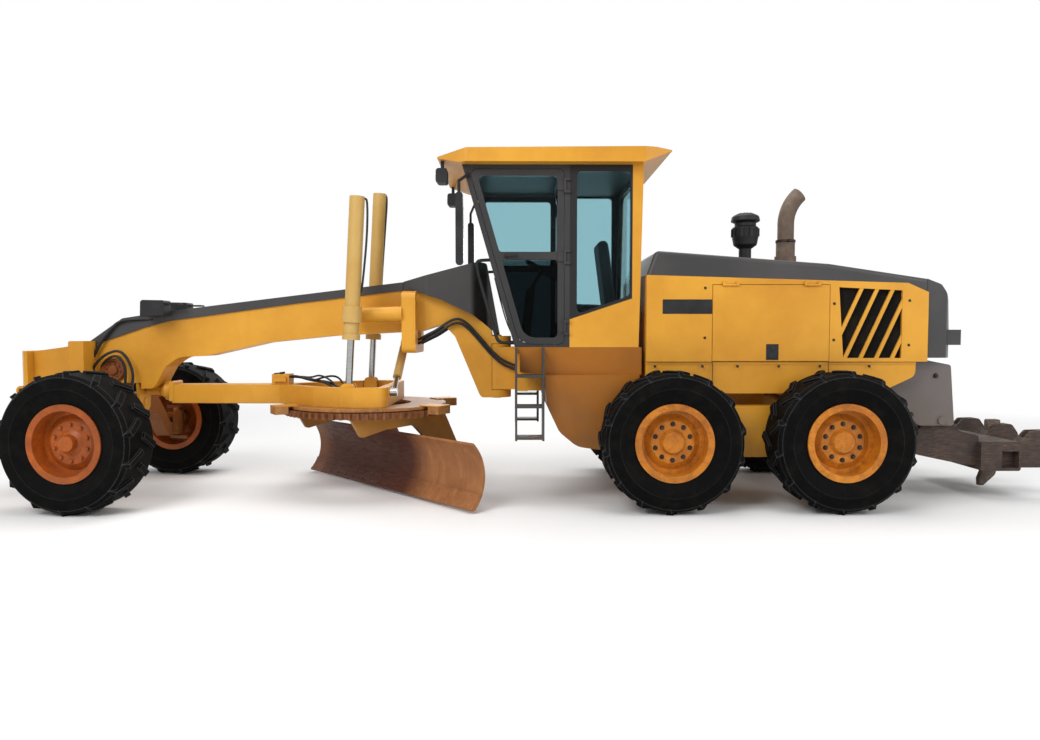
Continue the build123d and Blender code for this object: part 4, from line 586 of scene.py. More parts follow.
RECIPES = {
    "yellow_paint": lambda name, c: paint(name, c, c.yellow, c.yellow_shade),
    "drawbar_paint": lambda name, c: paint(name, c, c.yellow, c.yellow_shade, wear=0.7, darken_top=1.1,
                                           where=deck_parting),
    "cylinder_paint": lambda name, c: paint(name, c, c.cylinder, (0.50, 0.27, 0.05), wear=0.4),
    "charcoal_paint": lambda name, c: paint(name, c, c.charcoal, (0.060, 0.056, 0.055), wear=0.25),
    "cab_paint": lambda name, c: paint(name, c, c.cab, (0.042, 0.040, 0.040), wear=0.3, where=cab_parting),
    # Painted shade: the parts under the cab take a darker, browner yellow.
    "tank_paint": lambda name, c: paint(name, c, c.tank, (0.22, 0.07, 0.006), darken_top=1.5),
    "front_rim_paint": lambda name, c: paint(name, c, c.front_rim, (0.22, 0.048, 0.008), wear=0.8,
                                             darken_top=0.4, where=rim_rust),
    "rear_rim_paint": lambda name, c: paint(name, c, c.rear_rim, (0.34, 0.095, 0.008), wear=0.6,
                                            darken_top=0.4, where=rim_rust),
    "circle_paint": lambda name, c: paint(name, c, c.circle, (0.26, 0.10, 0.025), wear=0.9,
                                          where=circle_parting),
    "axle_paint": lambda name, c: paint(name, c, c.axle, (0.13, 0.034, 0.010), wear=0.8, darken_top=1.4),
    "grey_paint": lambda name, c: paint(name, c, c.grey, (0.15, 0.13, 0.125), darken_top=1.4, gloss=0.6),
    "tyre_rubber": rubber,
    "blade_steel": blade_steel,
    "edge_steel": blade_steel,
    "ripper_steel": lambda name, c: worn_steel(name, (0.036, 0.026, 0.023), (0.15, 0.078, 0.045), 4.0,
                                               smooth=0.5, dull=0.8, metallic=0.2),
    "shank_steel": lambda name, c: worn_steel(name, c.steel, (0.27, 0.21, 0.17), 5.0),
    "bolt_steel": lambda name, c: worn_steel(name, (0.03, 0.022, 0.018), (0.13, 0.095, 0.07), 9.0),
    "engine_iron": lambda name, c: worn_steel(name, (0.02, 0.02, 0.02), (0.07, 0.065, 0.06), 3.0,
                                              smooth=0.5, dull=0.8),
    "stack_metal": lambda name, c: worn_steel(name, c.stack, (0.20, 0.145, 0.105), 4.0, smooth=0.45,
                                              dull=0.75, metallic=0.15, grain=(1.0, 1.0, 1.0)),
    "rod_chrome": lambda name, c: polished(name),
    "mirror_glass": lambda name, c: mirror_glass(name),
    "cab_glass": lambda name, c: cab_pane(name, c.glass),
    "black_plastic": lambda name, c: moulded(name, c.plastic),
    "cab_plastic": lambda name, c: moulded(name, (0.045, 0.045, 0.048), roughness=0.7),
    "hose_rubber": lambda name, c: moulded(name, (0.014, 0.014, 0.014), roughness=0.5, grain=400.0,
                                           strength=0.2),
    "seat_cloth": lambda name, c: woven(name, c.cloth),
    "clear_lens": lambda name, c: lamp_lens(name, c.lens),
    "rear_lens": lambda name, c: lamp_lens(name, c.rear_lens),
    "radiator_core": lambda name, c: radiator_core(name),
}

NODE_FINISHES = (
    ("yellow_paint", (
        "front_frame", "counterweight", "saddle", "rear_frame", "side_panels", "engine_lid_left",
        "engine_lid_right", "rear_axle", "tandem_cases", "cab_roof")),
    ("drawbar_paint", ("drawbar",)),
    ("cylinder_paint", ("lift_barrel_left", "lift_barrel_right", "shift_barrel")),
    ("charcoal_paint", ("beam_cover", "hood", "rear_cowl", "ladders")),
    ("cab_paint", ("cab_shell", "cab_door_left", "cab_door_right")),
    ("tank_paint", ("cab_base",)),
    ("front_rim_paint", ("rim_front_left", "rim_front_right")),
    ("rear_rim_paint", ("rim_middle_left", "rim_middle_right", "rim_rear_left", "rim_rear_right")),
    ("circle_paint", ("circle", "blade_carrier")),
    ("axle_paint", (
        "front_axle", "lean_yoke_left", "lean_yoke_right", "knuckle_left", "knuckle_right", "lean_bar")),
    ("grey_paint", ("ripper_carrier",)),
    ("ripper_steel", ("ripper_frame",)),
    ("blade_steel", ("blade",)),
    ("shank_steel", ("ripper_shanks",)),
    ("engine_iron", ("engine",)),
    ("stack_metal", ("exhaust_stack",)),
    ("rod_chrome", ("lift_rod_left", "lift_rod_right", "shift_rod")),
    ("black_plastic", ("precleaner", "mirrors", "roof_lamps", "headlamps")),
    ("cab_plastic", ("steering_console",)),
    ("cab_glass", ("cab_glass", "door_glass_left", "door_glass_right")),
    ("seat_cloth", ("driver_seat",)),
    ("tyre_rubber", tuple(f"tyre_{place}_{side}" for place in WHEEL_PLACES for side, _ in SIDES)),
)


class GRADER_OT_finishes(bpy.types.Operator):
    """Give every part of the frame its own finish"""

    bl_idname = "grader.finishes"
    bl_label = "Finish the frame"

    def execute(self, context):
        for look, nodes in NODE_FINISHES:
            for node in nodes:
                for slot in NODES[node].material_slots:
                    slot.material = finish(look)
        return {"FINISHED"}


# Wheel bolts

FRONT_WHEEL_TURN = radians(-6.0)
WHEEL_HEIGHT = 0.66
BOLT_SEAT = 0.082


def wheel_bolts(sizes, place, side, sign, bm):
    """Ring of bolts on the outer face of one rim."""
    low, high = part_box(f"tyre_{place}_{side}")
    centre = (Vector(low) + Vector(high)) / 2
    centre.z = WHEEL_HEIGHT
    turn = FRONT_WHEEL_TURN if place == "front" else 0.0
    axis = Vector((-sin(turn), cos(turn), 0.0)) * sign
    across = axis.cross(Vector(UP))
    for angle in angles(sizes.wheel_bolts):
        spoke = Vector(UP) * cos(angle) + across * sin(angle)
        spot = centre + axis * BOLT_SEAT + spoke * sizes.wheel_bolt_circle
        hexagon(bm, spot, axis, sizes.bolt_radius, sizes.bolt_head)


class GRADER_OT_wheel_bolts(bpy.types.Operator):
    """Add the ring of bolts that holds each rim"""

    bl_idname = "grader.wheel_bolts"
    bl_label = "Wheel bolts"

    def execute(self, context):
        for place in WHEEL_PLACES:
            look = "front_rim_paint" if place == "front" else "bolt_steel"
            for side, sign in SIDES:
                build = partial(wheel_bolts, context.scene.grader_sizes, place, side, sign)
                piece(f"wheel_bolts_{place}_{side}", build, f"wheel_{place}_{side}", look)
        return {"FINISHED"}


# Hoses and pipes: name, body, radius and the points that draw the line

HOSES = (
    ("nose_hose_high", "front_frame", 0.016, (
        (4.50, 0.13, 1.24), (4.548, 0.19, 1.30), (4.464, 0.19, 1.504), (4.317, 0.19, 1.71),
        (4.204, 0.19, 1.805), (3.951, 0.17, 1.814), (3.86, 0.13, 1.80))),
    ("nose_hose_middle", "front_frame", 0.014, (
        (4.49, 0.13, 1.22), (4.521, 0.22, 1.267), (4.391, 0.24, 1.427), (4.232, 0.24, 1.498),
        (4.139, 0.24, 1.442), (4.064, 0.24, 1.269), (4.09, 0.22, 1.12), (4.15, 0.19, 1.02))),
    ("nose_hose_low", "front_frame", 0.013, (
        (4.44, 0.13, 1.30), (4.403, 0.21, 1.363), (4.244, 0.22, 1.457), (4.152, 0.22, 1.331),
        (4.17, 0.20, 1.16), (4.20, 0.16, 1.02))),
    ("nose_hose_far", "front_frame", 0.014, (
        (4.49, -0.13, 1.22), (4.53, -0.21, 1.30), (4.40, -0.23, 1.47), (4.22, -0.23, 1.50),
        (4.10, -0.22, 1.30), (4.16, -0.18, 1.02))),
    ("drawbar_hose_left", "drawbar", 0.013, (
        (2.56, 0.03, 1.20), (2.44, 0.03, 1.215), (2.30, 0.05, 1.17), (2.12, 0.08, 1.155),
        (2.00, 0.10, 1.05), (1.92, 0.10, 0.96), (1.86, 0.08, 0.95))),
    ("drawbar_hose_right", "drawbar", 0.013, (
        (2.56, -0.01, 1.20), (2.42, -0.02, 1.21), (2.28, -0.04, 1.165), (2.10, -0.05, 1.145),
        (1.98, -0.06, 1.04), (1.90, -0.06, 0.96), (1.84, -0.05, 0.95))),
    ("drawbar_hose_loop", "drawbar", 0.011, (
        (2.56, 0.065, 1.20), (2.47, 0.11, 1.225), (2.36, 0.15, 1.21), (2.24, 0.12, 1.17),
        (2.16, 0.03, 1.205), (2.06, -0.06, 1.215), (1.98, -0.03, 1.16), (1.94, 0.02, 1.04),
        (1.90, 0.03, 0.95))),
    ("drawbar_hose_slack", "drawbar", 0.010, (
        (2.56, -0.045, 1.20), (2.45, -0.10, 1.205), (2.33, -0.09, 1.19), (2.22, 0.00, 1.225),
        (2.11, 0.10, 1.20), (2.02, 0.14, 1.14), (1.97, 0.15, 1.03), (1.93, 0.15, 0.95))),
    ("lift_pipe_left", "lift_barrel_left", 0.011, (
        (1.675, 0.58, 2.975), (1.60, 0.58, 2.985), (1.572, 0.58, 2.96), (1.58, 0.58, 2.62),
        (1.622, 0.58, 2.206), (1.645, 0.58, 2.05), (1.69, 0.58, 2.02))),
    ("lift_pipe_right", "lift_barrel_right", 0.011, (
        (1.66, -0.58, 3.225), (1.60, -0.58, 3.235), (1.575, -0.58, 3.20), (1.60, -0.58, 2.88),
        (1.645, -0.58, 2.30), (1.655, -0.58, 2.05), (1.70, -0.58, 2.02))),
)

# Goose-neck hoses: name, distance from the middle plane and drop under the upper one

GOOSENECK_HOSES = (("upper", 0.198, 0.0), ("lower", 0.190, 0.040))
GOOSENECK_OUTLET = (1.14, 0.14, 1.60)
GOOSENECK_LINE = (
    (1.034, 1.655), (0.945, 1.698), (0.77, 1.822), (0.654, 1.801), (0.51, 1.64), (0.363, 1.465),
    (0.232, 1.363), (0.12, 1.33))
GOOSENECK_BEND = ("rear_frame", "front_frame", (0.17, 0.0, 1.37), (0.64, 0.0, 1.70))


def collars(radius, points, bm):
    """Crimped collar with a hexagonal nut at each end of a hose."""
    crimp = ((radius * 1.25, 0.0), (radius * 1.3, 0.004), (radius * 1.2, 0.012), (radius * 1.3, 0.02),
             (radius * 1.3, 0.036), (radius * 1.1, 0.042))
    nut = ((radius * 1.7, 0.0), (radius * 1.7, radius * 1.3))
    for end, following in ((points[0], points[1]), (points[-1], points[-2])):
        way = (Vector(following) - Vector(end)).normalized()
        turned(bm, Vector(end) + way * radius, way, crimp, 20)
        turned(bm, Vector(end) - way * radius * 0.4, way, nut, 6)


class GRADER_OT_hoses(bpy.types.Operator):
    """Run the hydraulic hoses and pipes along the frame, the drawbar and the lift cylinders"""

    bl_idname = "grader.hoses"
    bl_label = "Hoses and pipes"

    def execute(self, context):
        for name, body, radius, points in HOSES:
            tube(name, points, radius, "hose_rubber", body=body)
            piece(f"{name}_collars", partial(collars, radius, points), body, "bolt_steel", smooth=30)
        for name, across, drop in GOOSENECK_HOSES:
            run = (GOOSENECK_OUTLET, *((x, across, z) for x, z in GOOSENECK_LINE))
            for side, sign in SIDES:
                points = [on_side((x, y, z - drop), sign) for x, y, z in run]
                tube(f"gooseneck_hose_{name}_{side}", points, context.scene.grader_sizes.hose_radius,
                     "hose_rubber", bend=GOOSENECK_BEND)
        return {"FINISHED"}


# Driver's place: name, size, sewn channels as place and axis, lean and centre

PADS = (
    ("driver_cushion", (0.52, 0.49, 0.105), ((0.13, 1), (-0.13, 1), (0.0, 0)), -2.0, (-0.575, 0.0, 1.905)),
    ("driver_backrest", (0.70, 0.45, 0.105), ((0.12, 1), (-0.12, 1), (0.12, 0), (-0.10, 0)), -82.7,
     (-0.815, 0.0, 2.275)),
)
PAD_CORNER = 0.045
PAD_SWELL = 0.016
PAD_WAIST = 0.010
PAD_CUTS = 22
CHANNEL_DEPTH = 0.011
CHANNEL_WIDTH = 0.009
BASE_FOOT = (-0.575, 0.0, 1.582)
BASE_HEIGHT = 0.266
BASE_HALF = (0.228, 0.168)
FOLD_DEPTH = 0.018
FOLDS = 6


def pad(size, channels, lean, centre, bm):
    """Stuffed pad: a rounded box whose faces swell and whose top is pressed in along sewn channels."""
    bmesh.ops.create_cube(bm, size=2.0)
    bmesh.ops.subdivide_edges(bm, edges=bm.edges[:], cuts=PAD_CUTS, use_grid_fill=True)
    half = Vector(size) / 2
    inner = Vector(max(length - PAD_CORNER, 0.001) for length in half)
    turn = Matrix.Rotation(radians(lean), 3, "Y")
    for vert in bm.verts:
        share = vert.co.copy()
        spot = Vector(part * length for part, length in zip(share, half))
        core = Vector(max(-limit, min(limit, value)) for limit, value in zip(inner, spot))
        spot = core + (spot - core).normalized() * PAD_CORNER
        swell = PAD_SWELL * (1 - share.x**4) * (1 - share.y**4)
        spot.z += swell if share.z > 0 else -swell * 0.25
        if abs(share.y) > 0.6:
            spot.y -= copysign(PAD_WAIST * (1 - abs(share.x)), share.y)
        if share.z > 0.2:
            for place, axis in channels:
                spot.z -= CHANNEL_DEPTH * exp(-((spot[axis] - place) / CHANNEL_WIDTH) ** 2)
        vert.co = Vector(centre) + turn @ spot


def bellows(bm):
    """Folded cover of the sprung base, a rectangle with full corners."""
    rings = []
    for step in range(2 * FOLDS + 1):
        inset = FOLD_DEPTH if step % 2 else 0.0
        rise = BASE_HEIGHT * step / (2 * FOLDS)
        ring = []
        for angle in angles(48):
            lengthwise = copysign(abs(cos(angle)) ** 0.4, cos(angle)) * (BASE_HALF[0] - inset)
            crosswise = copysign(abs(sin(angle)) ** 0.4, sin(angle)) * (BASE_HALF[1] - inset)
            ring.append(bm.verts.new(Vector(BASE_FOOT) + Vector((lengthwise, crosswise, rise))))
        rings.append(ring)
    skin(bm, rings)


class GRADER_OT_driver_place(bpy.types.Operator):
    """Put the sewn cushions and their sprung base in the cab"""

    bl_idname = "grader.driver_place"
    bl_label = "Driver's place"

    def execute(self, context):
        for name, size, channels, lean, centre in PADS:
            build = partial(pad, size, channels, lean, centre)
            cushion = piece(name, build, "rear_frame", "seat_cloth", smooth=60)
            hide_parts("driver_seat")
        base = piece("driver_base", bellows, "rear_frame", "cab_plastic", smooth=25)
        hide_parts("driver_seat")
        return {"FINISHED"}


# Cab fittings, with the places of the left side

HAND_RAIL = (
    (0.35, 0.66, 2.375), (0.45, 0.66, 2.375), (0.507, 0.66, 2.36), (0.50, 0.66, 2.28), (0.458, 0.66, 2.118),
    (0.325, 0.66, 1.66), (0.30, 0.66, 1.585), (0.23, 0.66, 1.57), (0.14, 0.66, 1.57))
HAND_RAIL_RADIUS = 0.016
LEVER_BOSS = (0.215, 0.719, 2.41)
LEVER_PROFILE = ((0.026, 0.0), (0.026, 0.006), (0.018, 0.010), (0.014, 0.034), (0.010, 0.036))
LEVER_GRIP = ((0.10, 0.745, 2.398), (0.225, 0.757, 2.422))
MIRROR_FACE = ((0.612, 0.919, 2.335), (0.619, 0.951, 2.94))
ROOF_LAMP = (0.889, 0.63, 3.18)
ROOF_LENS_PROFILE = ((0.056, 0.0), (0.056, 0.008), (0.050, 0.012), (0.030, 0.018), (0.004, 0.020))
HEADLAMP = (3.919, 0.27, 1.918)
HEAD_LENS_PROFILE = ((0.066, 0.0), (0.066, 0.010), (0.058, 0.014), (0.034, 0.022), (0.004, 0.025))
TAIL_LENS = ((-4.247, 0.495, 1.565), (-4.236, 0.645, 1.685))
TAIL_LENS_RIB = ((-4.250, 0.566, 1.567), (-4.240, 0.574, 1.683))
WINDSCREEN_FOOT = (0.105, 1.53)
WINDSCREEN_LEAN = 0.2886
WIPER_FOOT_ACROSS = 0.16
WIPER_TIP_ACROSS = 0.44
WIPER_ARM_RADIUS = 0.006
WIPER_STRIP_RADIUS = 0.008


def door_lever(sign, bm):
    """Round boss on the door with a flat grip across it."""
    turned(bm, on_side(LEVER_BOSS, sign), on_side(LEFTWARD, sign), LEVER_PROFILE, 24)
    side_slab(bm, sign, LEVER_GRIP)


def lens(place, profile, sign, bm):
    """Domed lens that looks ahead."""
    turned(bm, on_side(place, sign), AHEAD, profile, 40)


def tail_lens(sign, bm):
    """Flat rear lens with a rib down its middle."""
    side_slab(bm, sign, TAIL_LENS)
    side_slab(bm, sign, TAIL_LENS_RIB)


def on_windscreen(height, across, off):
    """Spot on the windscreen at a height, some way off its face."""
    foot, foot_height = WINDSCREEN_FOOT
    return (foot + WINDSCREEN_LEAN * (height - foot_height) + off, across, height)


def wiper(side, sign):
    """Wiper arm and its rubber strip on one half of the windscreen."""
    foot, tip = WIPER_FOOT_ACROSS * sign, WIPER_TIP_ACROSS * sign
    arm = (on_windscreen(1.60, foot, 0.010), on_windscreen(1.72, foot, 0.040),
           on_windscreen(1.95, (foot + tip) / 2, 0.045), on_windscreen(2.22, tip, 0.032))
    strip = (on_windscreen(1.92, tip, 0.014), on_windscreen(2.22, tip, 0.020),
             on_windscreen(2.55, tip, 0.014))
    tube(f"wiper_arm_{side}", arm, WIPER_ARM_RADIUS, "black_plastic", body="rear_frame")
    tube(f"wiper_blade_{side}", strip, WIPER_STRIP_RADIUS, "hose_rubber", body="rear_frame")


class GRADER_OT_cab_fittings(bpy.types.Operator):
    """Add hand rails, door levers, mirror glass, lamp lenses and wipers"""

    bl_idname = "grader.cab_fittings"
    bl_label = "Cab fittings"

    def execute(self, context):
        for side, sign in SIDES:
            rail = [on_side(place, sign) for place in HAND_RAIL]
            tube(f"hand_rail_{side}", rail, HAND_RAIL_RADIUS, "black_plastic", body="rear_frame")
            piece(f"door_lever_{side}", partial(door_lever, sign), f"door_{side}", "black_plastic",
                  rounding=0.003)
            piece(f"mirror_glass_{side}", partial(side_slab, sign=sign, corners=MIRROR_FACE), "rear_frame",
                  "mirror_glass", rounding=0.004)
            piece(f"roof_lamp_lens_{side}", partial(lens, ROOF_LAMP, ROOF_LENS_PROFILE, sign), "rear_frame",
                  "clear_lens", smooth=40)
            piece(f"headlamp_lens_{side}", partial(lens, HEADLAMP, HEAD_LENS_PROFILE, sign), "front_frame",
                  "clear_lens", smooth=40)
            piece(f"tail_lens_{side}", partial(tail_lens, sign), "rear_frame", "rear_lens", rounding=0.004)
        for side, sign in SIDES:
            wiper(side, sign)
        return {"FINISHED"}


# Body fittings, with the places of the left side

CORE_FRONT, CORE_REAR = -2.935, -3.625
CORE_FOOT, CORE_HEAD = 1.415, 2.10
CORE_DEPTH = 0.700
CORE_RIDGE = 0.008
CORE_RIDGES = 60
BLANK_PLATE = ((-1.768, 0.748, 1.851), (-1.290, 0.7535, 1.990))
LATCH_PLATE = ((-2.417, 0.736, 1.405), (-2.295, 0.7515, 1.560))
LATCH_PULL = ((-2.396, 0.7515, 1.425), (-2.316, 0.7575, 1.462))
LATCH_LOCK = (-2.356, 0.751, 1.512)
LATCH_LOCK_PROFILE = ((0.024, 0.0), (0.024, 0.004), (0.012, 0.007))
CARRIER_BOLTS = ((-3.456, 1.343), (-4.026, 1.245), (-3.79, 0.861), (-3.50, 1.20), (-3.62, 0.90))
CARRIER_FACE = 0.615
PANEL_FACE = 0.7485
SCREW_ROW_HEIGHT = 1.345
SCREW_ROW = (-1.22, -1.68, -2.02, -2.42, -2.82, -3.30)
LOOSE_SCREWS = ((-1.70, 2.10), (-1.70, 1.62), (-2.95, 1.60), (-2.95, 1.95), (-3.68, 1.55), (-3.68, 1.98))
SCREW_PROFILE = ((0.014, 0.0), (0.014, 0.004), (0.006, 0.007))
NOSE_BOSS = (4.31, 0.147, 1.285)
NOSE_BOSS_PROFILE = (
    (0.122, 0.0), (0.122, 0.024), (0.112, 0.034), (0.098, 0.034), (0.090, 0.018), (0.052, 0.018),
    (0.046, 0.040), (0.020, 0.044))
SEAM_STATIONS = (-1.778, -2.903)
SEAM_HALF = 0.003
SEAM_SPAN = 0.744
CLEANER_AXIS = -2.31
CLEANER_CAP_PROFILE = ((0.052, 0.0), (0.050, 0.010), (0.020, 0.016), (0.003, 0.017))
STACK_CLAMP = (-2.74, 0.0, 2.625)
STACK_CLAMP_PROFILE = ((0.097, 0.0), (0.102, 0.003), (0.102, 0.027), (0.097, 0.030))


def core(sign, bm):
    """Upright ridges of a radiator core behind the side grille."""
    rows = []
    for i in range(CORE_RIDGES * 2 + 1):
        x = CORE_REAR + (CORE_FRONT - CORE_REAR) * i / (CORE_RIDGES * 2)
        y = sign * (CORE_DEPTH + (CORE_RIDGE if i % 2 else 0.0))
        rows.append([bm.verts.new((x, y, z)) for z in (CORE_FOOT, CORE_HEAD)])
    for first, second in zip(rows, rows[1:]):
        bm.faces.new((first[0], second[0], second[1], first[1]))


def latch(sign, bm):
    """Recessed latch of an engine lid, with its pull and its lock."""
    side_slab(bm, sign, LATCH_PLATE)
    side_slab(bm, sign, LATCH_PULL)
    turned(bm, on_side(LATCH_LOCK, sign), on_side(LEFTWARD, sign), LATCH_LOCK_PROFILE, 24)


def carrier_bolts(sign, bm):
    """Bolts that hold the ripper's carrier plate."""
    for x, z in CARRIER_BOLTS:
        hexagon(bm, (x, sign * CARRIER_FACE, z), on_side(LEFTWARD, sign), 0.019, 0.018)


def panel_screws(sign, bm):
    """Round screws along the foot of the side panel and beside its lid and grille."""
    for x, z in [(x, SCREW_ROW_HEIGHT) for x in SCREW_ROW] + list(LOOSE_SCREWS):
        turned(bm, (x, sign * PANEL_FACE, z), on_side(LEFTWARD, sign), SCREW_PROFILE, 16)


def nose_boss(sign, bm):
    """Round boss with its ring of screws on the side of the beam's nose."""
    turned(bm, on_side(NOSE_BOSS, sign), on_side(LEFTWARD, sign), NOSE_BOSS_PROFILE, 48)
    x, y, z = NOSE_BOSS
    for angle in angles(8, 0.2):
        spot = (x + 0.072 * cos(angle), sign * (y + 0.017), z + 0.072 * sin(angle))
        hexagon(bm, spot, on_side(LEFTWARD, sign), 0.010, 0.010)


def seams(bm):
    """Dark panel seams over the hood, which follow its surface, and down the panels under the lids."""
    section = ((-SEAM_HALF, -0.002), (SEAM_HALF, -0.002), (SEAM_HALF, 0.001), (-SEAM_HALF, 0.001))
    steps = 80
    above = 5.0
    for station in SEAM_STATIONS:
        rings = []
        for i in range(steps + 1):
            start = Vector((station, SEAM_SPAN * (1 - 2 * i / steps), above))
            hit, spot, normal, _ = NODES["hood"].ray_cast(start, -Vector(UP))
            if hit:
                corners = [spot + normal * rise + Vector(AHEAD) * off for off, rise in section]
                rings.append([bm.verts.new(corner) for corner in corners])
        skin(bm, rings)
        for _, sign in SIDES:
            side_slab(bm, sign, ((station - SEAM_HALF, 0.745, 1.12), (station + SEAM_HALF, 0.7487, 1.385)))


def cleaner_vanes(bm):
    """Upright vanes round the air cleaner's bowl."""
    vanes(bm, 16, (CLEANER_AXIS, 0.0, 2.73), 0.134, (0.026, 0.005, 0.085), Matrix.Rotation(0.5, 4, "Z"))


def cleaner_cap(bm):
    """Cap on top of the air cleaner, with its sloping ribs."""
    turned(bm, (CLEANER_AXIS, 0.0, 2.925), UP, CLEANER_CAP_PROFILE)
    slope = Matrix.Rotation(radians(24), 4, "Y")
    vanes(bm, 12, (CLEANER_AXIS, 0.0, 2.917), 0.092, (0.075, 0.007, 0.014), slope)


def stack_clamp(bm):
    """Band round the exhaust stack with its tightening lug."""
    turned(bm, STACK_CLAMP, UP, STACK_CLAMP_PROFILE, 48)
    lug = Vector(STACK_CLAMP) + Vector((0.0, 0.111, 0.015))
    half = Vector((0.012, 0.017, 0.011))
    slab(bm, lug - half, lug + half)


class GRADER_OT_body_fittings(bpy.types.Operator):
    """Add radiator cores, blank plates, latches, bolts, screws, seams and the cleaner's and stack's trim"""

    bl_idname = "grader.body_fittings"
    bl_label = "Body fittings"

    def execute(self, context):
        for side, sign in SIDES:
            piece(f"radiator_core_{side}", partial(core, sign), "rear_frame", "radiator_core")
            piece(f"blank_plate_{side}", partial(side_slab, sign=sign, corners=BLANK_PLATE), "rear_frame",
                  "black_plastic", rounding=0.002)
            piece(f"lid_latch_{side}", partial(latch, sign), f"lid_{side}", "black_plastic", rounding=0.003)
            piece(f"carrier_bolts_{side}", partial(carrier_bolts, sign), "rear_frame", "bolt_steel",
                  smooth=30)
            piece(f"panel_screws_{side}", partial(panel_screws, sign), "rear_frame", "bolt_steel",
                  smooth=35)
            piece(f"nose_boss_{side}", partial(nose_boss, sign), "front_frame", "axle_paint", smooth=35)
        piece("hood_seams", seams, "rear_frame", "black_plastic")
        piece("cleaner_vanes", cleaner_vanes, "rear_frame", "black_plastic", rounding=0.001)
        piece("cleaner_cap", cleaner_cap, "rear_frame", "black_plastic", rounding=0.001)
        piece("stack_clamp", stack_clamp, "rear_frame", "bolt_steel", smooth=35)
        return {"FINISHED"}


# Blade fittings; the blade's hollow face is an arc in the plane ahead of the circle's centre

CIRCLE_CENTRE = (1.695, 0.0, 0.0)
BLADE_TURN = radians(43.5)
BLADE_AHEAD = (cos(BLADE_TURN), sin(BLADE_TURN), 0.0)
BLADE_ALONG = (-sin(BLADE_TURN), cos(BLADE_TURN), 0.0)
BLADE_ARC_CENTRE = (0.2365, 0.335)
BLADE_ARC_RADIUS = 0.413
EDGE_ENDS = (-1.352, 1.652)
EDGE_JOINTS = (-0.35, 0.65)
EDGE_TOP = 23.2
EDGE_FOOT = 47.2
EDGE_BACK = 0.004
EDGE_FRONT = 0.013
EDGE_BOLT_ROWS = (41.0, 29.5)
EDGE_BOLT_MARGIN = 0.09
EDGE_BOLT_PROFILE = ((0.017, 0.0), (0.016, 0.005), (0.008, 0.008))
VALVE_TOP = 1.236


def on_blade(turn, reach, share):
    """Point by the hollow face: degrees down, reach from the arc's centre and place along the edge."""
    out = BLADE_ARC_CENTRE[0] - reach * cos(radians(turn))
    height = BLADE_ARC_CENTRE[1] - reach * sin(radians(turn))
    foot = Vector(CIRCLE_CENTRE) + Vector(BLADE_AHEAD) * out + Vector(BLADE_ALONG) * share
    return foot + Vector(UP) * height


def cutting_edge(bm):
    """Curved plate over the foot of the blade's hollow face."""
    steps = 6
    turns = [EDGE_FOOT + (EDGE_TOP - EDGE_FOOT) * i / steps for i in range(steps + 1)]
    outline = [(turn, BLADE_ARC_RADIUS + EDGE_BACK) for turn in turns]
    outline += [(turn, BLADE_ARC_RADIUS - EDGE_FRONT) for turn in reversed(turns)]
    shares = (EDGE_ENDS[0], *EDGE_JOINTS, EDGE_ENDS[1])
    skin(bm, [[bm.verts.new(on_blade(turn, reach, share)) for turn, reach in outline] for share in shares])


def edge_bolts(count, bm):
    """Two rows of domed bolts through the cutting edge."""
    first, last = EDGE_ENDS[0] + EDGE_BOLT_MARGIN, EDGE_ENDS[1] - EDGE_BOLT_MARGIN
    for i in range(count):
        share = first + (last - first) * i / (count - 1)
        for turn in EDGE_BOLT_ROWS:
            out = on_blade(turn, 0.0, share) - on_blade(turn, BLADE_ARC_RADIUS, share)
            turned(bm, on_blade(turn, BLADE_ARC_RADIUS - 0.011, share), out, EDGE_BOLT_PROFILE, 16)


def valve_caps(bm):
    """Caps on top of the drawbar's valve block and fittings on its rear face."""
    for across in (-0.03, 0.0, 0.03, 0.06, 0.09):
        turned(bm, (2.60, across, VALVE_TOP), UP, ((0.011, 0.0), (0.011, 0.018), (0.008, 0.022)), 16)
        turned(bm, (2.66, across, VALVE_TOP - 0.004), UP, ((0.013, 0.0), (0.013, 0.012), (0.009, 0.016)), 6)
    for across in (-0.02, 0.02, 0.06):
        turned(bm, (2.54, across, 1.185), -Vector(AHEAD), ((0.016, 0.0), (0.016, 0.016), (0.012, 0.022)), 6)


class GRADER_OT_blade_fittings(bpy.types.Operator):
    """Bolt the cutting edge to the blade and put the caps on the drawbar's valve block"""

    bl_idname = "grader.blade_fittings"
    bl_label = "Blade fittings"

    def execute(self, context):
        bolts = partial(edge_bolts, context.scene.grader_sizes.edge_bolts)
        piece("cutting_edge", cutting_edge, "blade", "edge_steel", smooth=35)
        piece("cutting_edge_bolts", bolts, "blade", "edge_steel", smooth=35)
        piece("valve_caps", valve_caps, "drawbar", "bolt_steel", smooth=30)
        return {"FINISHED"}


# Stage; each lamp has a name, a place, what it faces, a width and a power

LAMPS = (
    ("key_lamp", (6.0, 9.0, 9.0), (0.0, 0.0, 1.2), 7.0, 900.0),
    ("fill_lamp", (-9.0, 7.0, 6.0), (0.0, 0.0, 1.2), 7.0, 420.0),
    ("top_lamp", (0.0, -1.0, 11.0), (0.0, 0.0, 0.0), 9.0, 700.0),
    ("back_lamp", (0.0, -12.0, 7.0), (0.0, 0.0, 1.2), 8.0, 420.0),
)
WORLD_LEVEL = 0.42
FLOOR_RADIUS = 120.0
FLOOR_FADE = (6.0, 13.0)
CAMERA_PLACE = (0.142, 7.896, 1.633)
CAMERA_YAW = radians(-0.46)
CAMERA_DIP = radians(2.59)
SEEN_BY = ("Is Camera Ray", "Is Glossy Ray", "Is Transmission Ray")


def faced(obj, place, way):
    """Lamp or camera put at a place, looking along a direction."""
    obj.location = place
    obj.rotation_euler = Vector(way).to_track_quat("-Z", "Y").to_euler()


